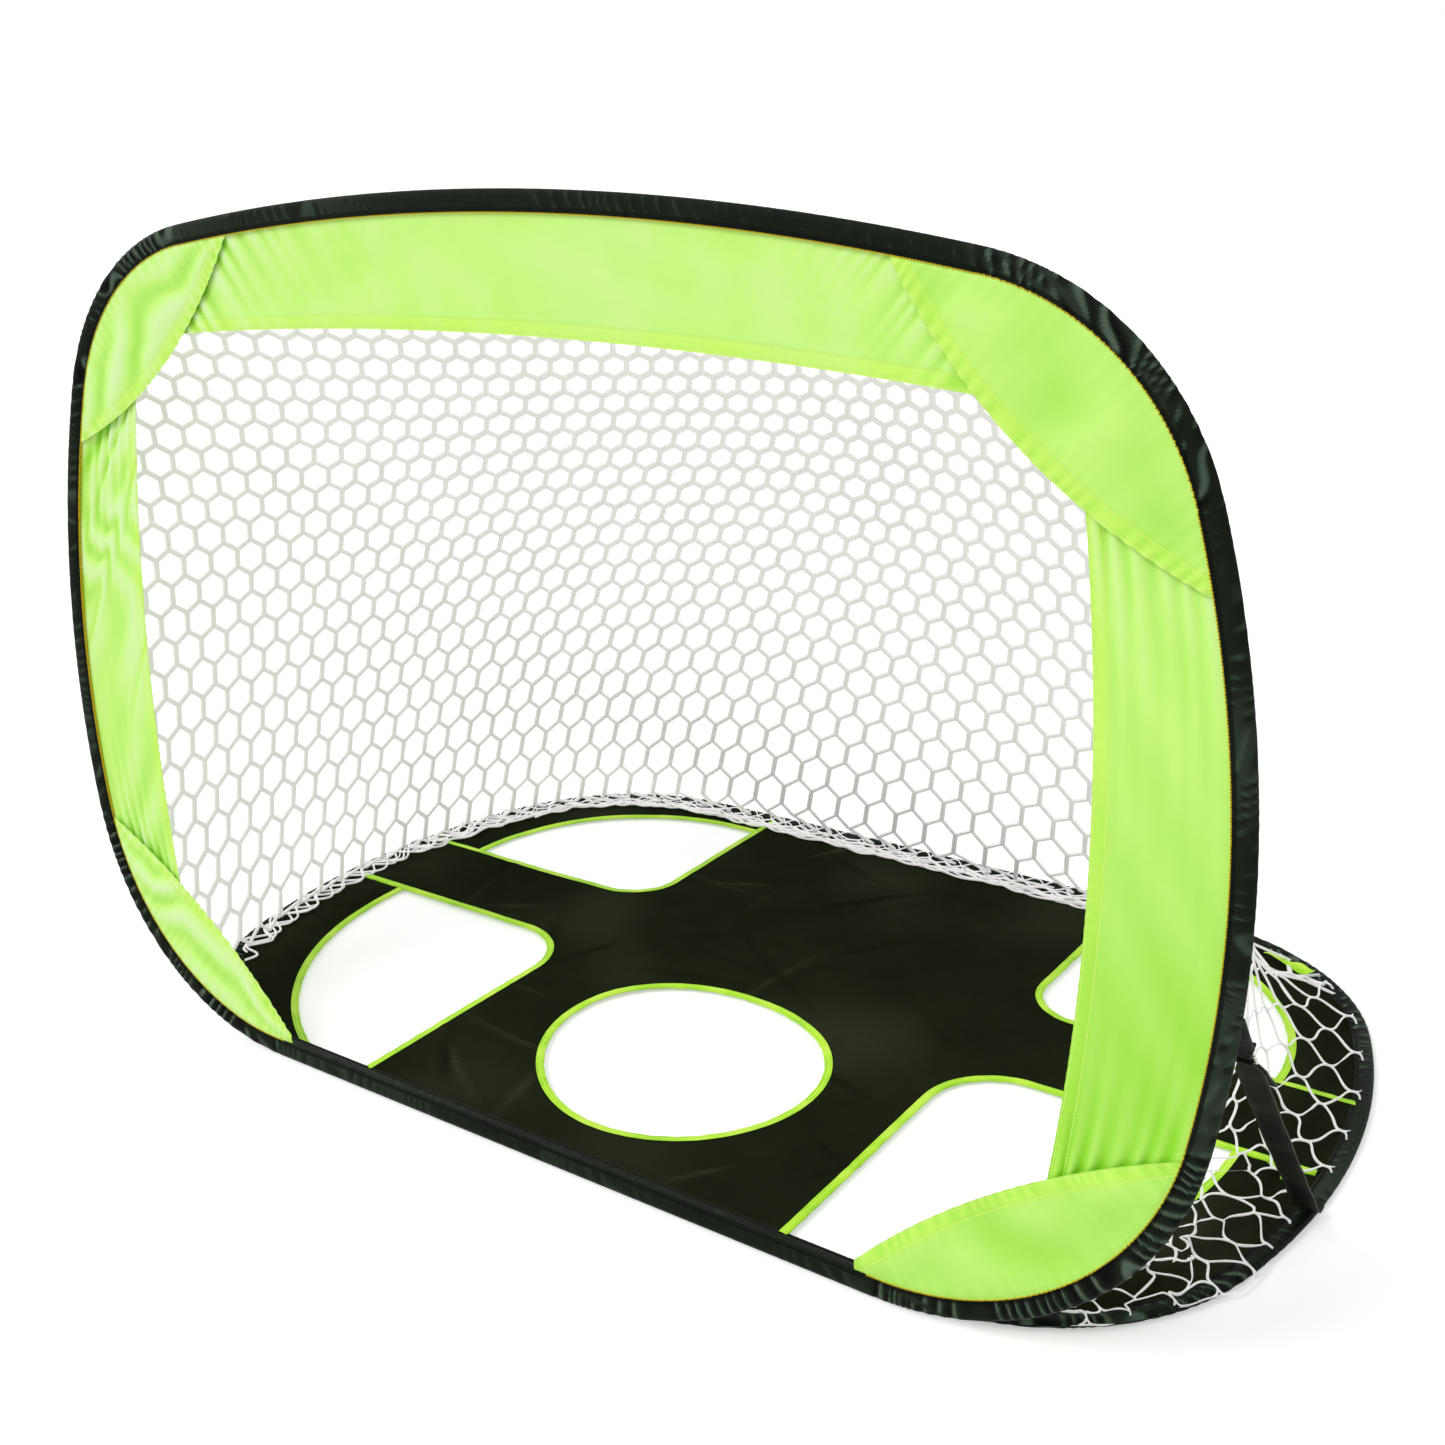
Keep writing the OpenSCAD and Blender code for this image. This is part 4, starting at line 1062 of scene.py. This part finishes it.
def net_piece(name, places, inside, meshes, width, depth=None):
    """Twine along the sides of the meshes that lie inside the net. With a depth it is a
    taut net: flat, with straight sides and bevelled edges. Without, it is slack and round."""
    kept = [mesh for mesh in meshes if all(places[n] is not None for n in mesh)
            and any(inside[n] for n in mesh)]
    used = {n: k for k, n in enumerate(sorted({n for mesh in kept for n in mesh}))}
    data = bpy.data.meshes.new(name)
    data.from_pydata([tuple(places[n]) for n in used], [],
                     [[used[n] for n in mesh] for mesh in kept])
    piece = new_piece(name, data)
    if depth:
        form = bmesh.new()
        form.from_mesh(data)
        bmesh.ops.remove_doubles(form, verts=form.verts, dist=0.002)
        holes = form.faces[:]
        for hole in holes:
            wider = 1.10 - 0.26 * hole.calc_center_median().x
            bmesh.ops.inset_individual(form, faces=[hole], thickness=0.58 * width * wider)
        bmesh.ops.delete(form, geom=holes, context="FACES")
        form.to_mesh(data)
        form.free()
        reshape(piece, "SOLIDIFY", thickness=depth, offset=0)
        reshape(piece, "BEVEL", width=0.3 * depth, segments=1, limit_method="ANGLE",
                angle_limit=math.radians(75))
        bpy.ops.object.shade_smooth_by_angle(angle=math.radians(30))
    else:
        reshape(piece, "WIREFRAME", thickness=width, use_even_offset=False, use_replace=True)
        reshape(piece, "SUBSURF", levels=1, render_levels=1)
        bpy.ops.object.shade_smooth()
    return piece


columns, rows, u_span, v_span = 240, 140, (-0.02, 0.72), (-0.04, 1.05)
form = net_point(*np.meshgrid(np.linspace(*u_span, columns), np.linspace(*v_span, rows),
                              indexing="ij")).reshape(-1, 3)
quads = [(i * rows + j, i * rows + j + 1, (i + 1) * rows + j + 1, (i + 1) * rows + j)
         for i in range(columns - 1) for j in range(rows - 1)]
net_form = BVHTree.FromPolygons([tuple(p) for p in form], quads)
turned = camera.rotation_euler.to_matrix()
# The view's middle and its depth, where the view is 1445 wide.
view_middle, view_depth = 722.5, 1715.1
sewn_deep = 0.006


def hung(i, j):
    """The corner of a mesh in the back of the net. Seen from in front of the mouth its
    meshes stand upright and open out like a fan. Below the foot it is drawn up to it."""
    a, b = i / 20, j / 12
    across = (618 + 486 * a - 51 * b + 15 * a * a - 21 * a * b - 19 * b * b
              + 25 * a ** 3 + 66 * a * a * b - 4 * a * b * b + 14 * b ** 3)
    down = (553 - 20 * a + 242 * b + 96 * a * a - 37 * a * b + 35 * b * b
            + 33 * a ** 3 + 90 * a * a * b - 21 * a * b * b + 17 * b ** 3)
    for below in range(0, 60, 5):
        sight = turned @ Vector(((across - view_middle) / view_depth,
                                 (view_middle - down + below) / view_depth, -1))
        found, _, index, _ = net_form.ray_cast(camera.location, sight.normalized())
        if found is not None:
            break
    else:
        return None, False
    u = np.interp((index // (rows - 1) + 0.5) / (columns - 1), (0, 1), u_span)
    v = np.interp((index % (rows - 1) + 0.5) / (rows - 1), (0, 1), v_span)
    if below and v < 0.75:
        return None, False
    if not below and 0 <= v <= 1:
        return np.array(found), True
    v = 1.0 if below else min(max(v, 0.0), 1.0)
    return net_point([u], [v])[0] - (0, 0, sewn_deep * (v == 1)), False


corners, meshes = lattice(range(-30, 40), range(-22, 31), 1 / 3, 1)
places, inside = zip(*(hung(i, j) for i, j in corners))
net = net_piece("net_twine", places, inside, meshes, 0.0044, 0.0026)


def laid(corners, seed, sway):
    """Places and whether they are in the net, of the slack meshes at its right end. They
    are widest on the sheet at the rear, narrow towards the goal line, and sway more there."""
    u = np.interp(corners[:, 0] - 0.25, (-1, 4.5, 6, 16), (0.67, 0.835, 0.87, 1.03))
    u_in = np.clip(u, 0.70, 1.03)
    row = np.interp(corners[:, 1], (-1, 0, 1, 2, 4, 14), (1.04, 0.985, 0.924, 0.85, 0.68, 0))
    end = np.interp(u_in, (0.88, 0.93), (1.0, 1.04))
    v = end - 0.015 - np.interp(u_in, (0.84, 0.90, 1.03), (1, 1.2, 1.9)) * (0.985 - row)
    v_in = np.clip(v, 0, end)
    place = net_point(u_in, v_in)
    loose = sway * (np.clip((v_in - 0.3) / 0.5, 0.2, 1) * np.clip((end - v_in) / 0.06, 0.35, 1)
                    * np.interp(u_in, (0.78, 0.86, 0.93), (0.30, 1.0, 1.8)))
    for axis, amount in ((0, 1.0), (1, 1.0), (2, 0.35)):
        place[:, axis] += amount * loose * (
            ripples(u_in * 2.4, v_in * 0.5, 0.085, seed + axis)
            + 0.45 * ripples(u_in * 2.4, v_in * 0.5, 0.032, seed + 3 + axis))
    x, y = net_edge(ground_hoop, u_in, 0.018)
    off_edge = np.hypot(place[:, 0] - x, place[:, 1] + half_sleeve - y)
    over_sleeve = np.clip(1 - off_edge / 0.018, 0, 1)
    place[:, 2] = np.maximum(place[:, 2], 0.0076 + 0.0028 * over_sleeve)
    place[:, 2] -= np.where(v >= end, sewn_deep, 0)
    return list(place), (0.70 <= u) & (u <= 1.03) & (0 <= v) & (v <= end)


corners, meshes = lattice(range(-1, 18), range(-1, 16), 0.10, 5)
side_net = net_piece("net_side_twine", *laid(corners, 29, 0.0058), meshes, 0.0036)


def yarn(name, lines, radius):
    """Lengths of twine along lines of points, as one piece."""
    curve = bpy.data.curves.new(name, "CURVE")
    curve.dimensions = "3D"
    curve.bevel_depth, curve.bevel_resolution, curve.use_fill_caps = radius, 1, True
    for line in lines:
        spline = curve.splines.new("POLY")
        spline.points.add(len(line) - 1)
        spline.points.foreach_set("co", np.column_stack([line, np.ones(len(line))]).ravel())
    piece = new_piece(name, curve)
    bpy.ops.object.convert(target="MESH")
    bpy.ops.object.shade_smooth()
    return piece


def bunched(start, end, base, sway, beat, phase, seed, lift=0.0):
    """A length of twine along the ground hoop, start and end metres round from the left
    end of the goal line. It sways in and out over the sleeve and the sheet."""
    run = np.arange(start, end, 0.0035)
    inset = (base + sway * np.sin(2 * math.pi * run / beat + phase + 1.3 * wander(run, 0.11, seed))
             + 0.0018 * wander(run, 0.021, seed + 1) + 0.0030 * wander(run, 0.16, seed + 2))
    x, y, _ = hoop_point(ground_hoop, 2 * ground_hoop["half"] - run, inset)
    under = np.interp(inset, (0, 0.003, 0.006, 0.010, 0.015, 0.022, 0.050),
                      (0.0033, 0.0053, 0.0057, 0.0052, 0.0031, 0.0025, 0.0024))
    return np.column_stack(on_ground(x, y, under + lift
                                     + 0.0007 * (1 + wander(run, 0.03, seed + 3))))


foot_lines = [bunched(0.88 + 0.04 * level, 2.02, base, 0.0085 - 0.001 * level, 0.052,
                      half + 1.6 * level, 400 + level, 0.0006 * (half > 0))
              for level, base in enumerate((0.0155, 0.0275)) for half in (0, math.pi)]
rope_lines = [bunched(0.92 + 0.06 * k, 2.02, 0.0345 + 0.0040 * (k % 4), 0.0048,
                      0.052 + 0.011 * (k % 4), 2.4 * k, 500 + 7 * k, 0.0010 * (k % 5))
              for k in range(7)]
loop_lines = [bunched(0.57 + 0.02 * k, 1.02 + 0.04 * k, 0.0230, 0.0100 + 0.0015 * k,
                      0.052 + 0.011 * k, 1.9 * k, 301 + 7 * k, 0.0006 * k) for k in range(4)]
foot_yarn = yarn("net_foot_twine", foot_lines, 0.0009)
rope_yarn = yarn("net_foot_rope", rope_lines + loop_lines, 0.0013)

# The twine glows a little: its white emission is painted light that brightens the shaded sides of the strands.
twine, tree, shader = new_material("white twine", specular_ior_level=0.3,
                                   subsurface_weight=1.0, subsurface_scale=0.006,
                                   subsurface_radius=(1.0, 1.0, 1.0),
                                   emission_color=(1.0, 1.0, 1.0, 1.0),
                                   emission_strength=0.23)
place = tree.nodes.new("ShaderNodeTexCoord").outputs["Object"]
fibres = place_group(tree, weave, {"Vector": place, "Light": srgb(214, 212, 209),
                                   "Dark": srgb(204, 202, 199), "Pitch": 0.0011,
                                   "Crease": 0.0002})
cover(tree, shader, fibres["Color"], sums(tree, "ADD", fibres["Roughness"], 0.35),
      fibres["Height"], 0.25)
for piece in (net, side_net, foot_yarn, rope_yarn):
    piece.data.materials.append(twine)
    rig.ride(piece, "ground_frame")
    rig.squash(piece, "front_fold", axis=(0, 0, 1), anchor=(0, 0, 0.0083), keep=0.004)
    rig.slot(piece, "net_twine")
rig.replaces(net, "net")


# ---- Ribbon ties ----
# Two short neon ribbons at the right hold the foot of the net to the ground hoop.
def ribbon(name, centre, length, width, turn, seed):
    """A curled ribbon that is pinched in the middle, where it is tied."""
    def surface(a, b):
        run = (a - 0.5) * length
        across = (b - 0.5) * width * (1 - 0.45 * np.exp(-(run / (0.16 * length)) ** 2))
        curl = np.sin(a * 5.5 + 0.8) * np.cos(b * math.pi)
        x = centre[0] + run * math.cos(turn) - across * math.sin(turn)
        y = centre[1] + run * math.sin(turn) + across * math.cos(turn) + 0.002 * np.sin(a * 7)
        z = centre[2] + 0.0032 + 0.0022 * curl + 0.0016 * wander(run, 0.012, seed)
        # Painted light and shade that follow the ribbon's curl.
        return (x, y, z), (run, across), 0.5 + 0.4 * curl
    piece = cloth_grid(name, 40, 8, surface)
    piece.data.materials.append(tape)
    as_sheet(piece, 0.0006, "folded", "net")
    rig.ride(piece, "ground_frame")
    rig.slot(piece, "neon_binding")
    return piece


tie = ribbon("net_tie_rear", (0.448, 0.688, 0.0110), 0.058, 0.013, math.radians(-24), 5)
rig.replaces(tie, "net_ties")
ribbon("net_tie_side", (0.562, 0.313, 0.0078), 0.024, 0.015, math.radians(-30), 9)


# ---- Strap and tab ----
# Black polypropylene webbing at the right. A short tab is sewn to the front sleeve and held
# by a rivet. It carries a plated ring, and the strap runs from the ring to the ground sleeve.
tab_pivot = np.array(upright(0.596, 0.318, -0.0065))
strap_foot_y, strap_foot_z, webbing_t = 0.275 - half_sleeve, 0.0093, 0.0016
eye_r = 0.00155
bar_r = eye_r + webbing_t / 2
upper_bar = 0.062 + eye_r + webbing_t
lower_bar = upper_bar + 0.0105
drop, reach = tab_pivot[2] - strap_foot_z - webbing_t, strap_foot_y - tab_pivot[1]
dip, strap_end = math.atan2(drop, reach), math.hypot(drop, reach)
# Black webbing: light and dark, the painted shade of its creases, the painted highlight of its ridges and edges, and
# the thread.
webbing_cloth = cloth_material("black webbing", ((19, 20, 13), (12, 13, 8), (6, 7, 5),
                                                 (50, 52, 42), (40, 42, 36)),
                               [(0.0088, 0.003), (-0.0088, 0.003)], 0.0005, pitch=0.0020)


def eye(bar, start, end):
    """The webbing's turn round one of the ring's bars."""
    turn = np.radians(np.linspace(start, end, 25))
    return np.column_stack([bar + bar_r * np.cos(turn), bar_r * np.sin(turn)])


def webbing(name, line, widths, body, node, *rests_on):
    """A strip of webbing along a line of (y, z): y down the strap, z out of it. Its widths
    are pairs of a y and the width there."""
    line, run = evenly(line, 0.0012)
    count = len(line) - 1

    def surface(a, b):
        k = np.clip(np.round(a * count).astype(int), 0, count)
        y, z = line[k, 0], line[k, 1] + 0.0006 * wander(run[k], 0.03, 55) * (1 - 2 * b)
        across = (b - 0.5) * np.interp(y, *zip(*widths))
        place = (tab_pivot[0] + across, tab_pivot[1] + y * math.cos(dip) + z * math.sin(dip),
                 tab_pivot[2] - y * math.sin(dip) + z * math.cos(dip))
        # Painted highlight along both edges of the webbing, and painted light and shade that change at random along it.
        edge = np.abs(2 * b - 1) ** 6
        return place, (run[k], across), 0.5 + 0.35 * edge + 0.2 * wander(run[k], 0.02, 56)
    piece = cloth_grid(name, count, 12, surface)
    as_sheet(piece, webbing_t, "stretched", *rests_on)
    dress(piece, webbing_cloth, body, node, "black_webbing")
    return piece


webbing("tab_webbing", [(0.0, -0.0004), (0.050, -0.0012), *eye(upper_bar, -90, 150),
                        (0.058, 0.0014), (0.044, 0.0014)],
        [(0.047, 0.0225), (0.0625, 0.012)], "tab_body", "right_tab", "front_sleeve")
strap = webbing("strap_webbing", [
    (lower_bar + 0.062, 0.0078), (lower_bar + 0.034, 0.0044), (lower_bar + 0.012, 0.0022),
    *eye(lower_bar, 30, 270), (lower_bar + 0.012, -0.0006), (strap_end * 0.6, -0.0012),
    (strap_end - 0.004, 0.0006), (strap_end + 0.004, 0.0030), (strap_end + 0.010, 0.0105)],
    [(lower_bar + 0.003, 0.012), (lower_bar + 0.022, 0.0215)], "ground_frame", "right_strap",
    "right_ring", "ground_sleeve")
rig.squash(strap, "front_fold", axis=(0, 0, 1), anchor=(0, 0, strap_foot_z), keep=0.006)
plated = metal_material("plated steel", srgb(215, 214, 210), srgb(176, 174, 168))
repaint(plated, "right_rivet", "right_ring")


# ---- Floor, background and light ----
# A white studio floor and white surroundings. A broad sun stands high to the left of the
# camera, and the surroundings give the soft fill.
def seen(tree):
    """1 for rays from the camera, also by way of a mirror or through glass, otherwise 0."""
    ray = tree.nodes.new("ShaderNodeLightPath").outputs
    return sums(tree, "MAXIMUM", ray["Is Camera Ray"],
                sums(tree, "MAXIMUM", ray["Is Glossy Ray"], ray["Is Transmission Ray"]))


bpy.ops.object.select_all(action="DESELECT")
bpy.ops.mesh.primitive_plane_add(size=60, location=(0, 0, -0.0002))
floor = bpy.context.object
floor.name = "floor"
floor_material = bpy.data.materials.new("white floor")
floor_material.use_nodes = True
tree = floor_material.node_tree
tree.nodes.clear()
paint = add_node(tree, "ShaderNodeBsdfDiffuse", {"Color": (0.80, 0.80, 0.80, 1)})
lift = add_node(tree, "ShaderNodeEmission", {"Color": (1, 1, 1, 1),
                                             "Strength": sums(tree, "MULTIPLY", seen(tree), 0.42)})
both = add_node(tree, "ShaderNodeAddShader", {0: paint.outputs[0], 1: lift.outputs[0]})
add_node(tree, "ShaderNodeOutputMaterial", {"Surface": both.outputs[0]})
floor.data.materials.append(floor_material)
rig.stage(floor)

world = bpy.data.worlds.new("white surroundings")
bpy.context.scene.world = world
world.use_nodes = True
tree = world.node_tree
background = tree.nodes["Background"]
background.inputs["Color"].default_value = (1, 1, 1, 1)
tree.links.new(sums(tree, "MULTIPLY_ADD", seen(tree), 0.33, 0.67), background.inputs["Strength"])

sun_data = bpy.data.lights.new("sun", "SUN")
sun_data.energy = 1.30
sun_data.angle = math.radians(28)
sun = bpy.data.objects.new("sun", sun_data)
sun.rotation_euler = Vector((-0.45, -0.72, 0.90)).to_track_quat("Z", "Y").to_euler()
bpy.context.collection.objects.link(sun)
bpy.context.scene.view_settings.view_transform = "Standard"

with open("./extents.json", "w") as sizes:
    json.dump({"cad": [list(c) for c in cad_box], "visual": [list(c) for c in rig.bounds()]}, sizes)
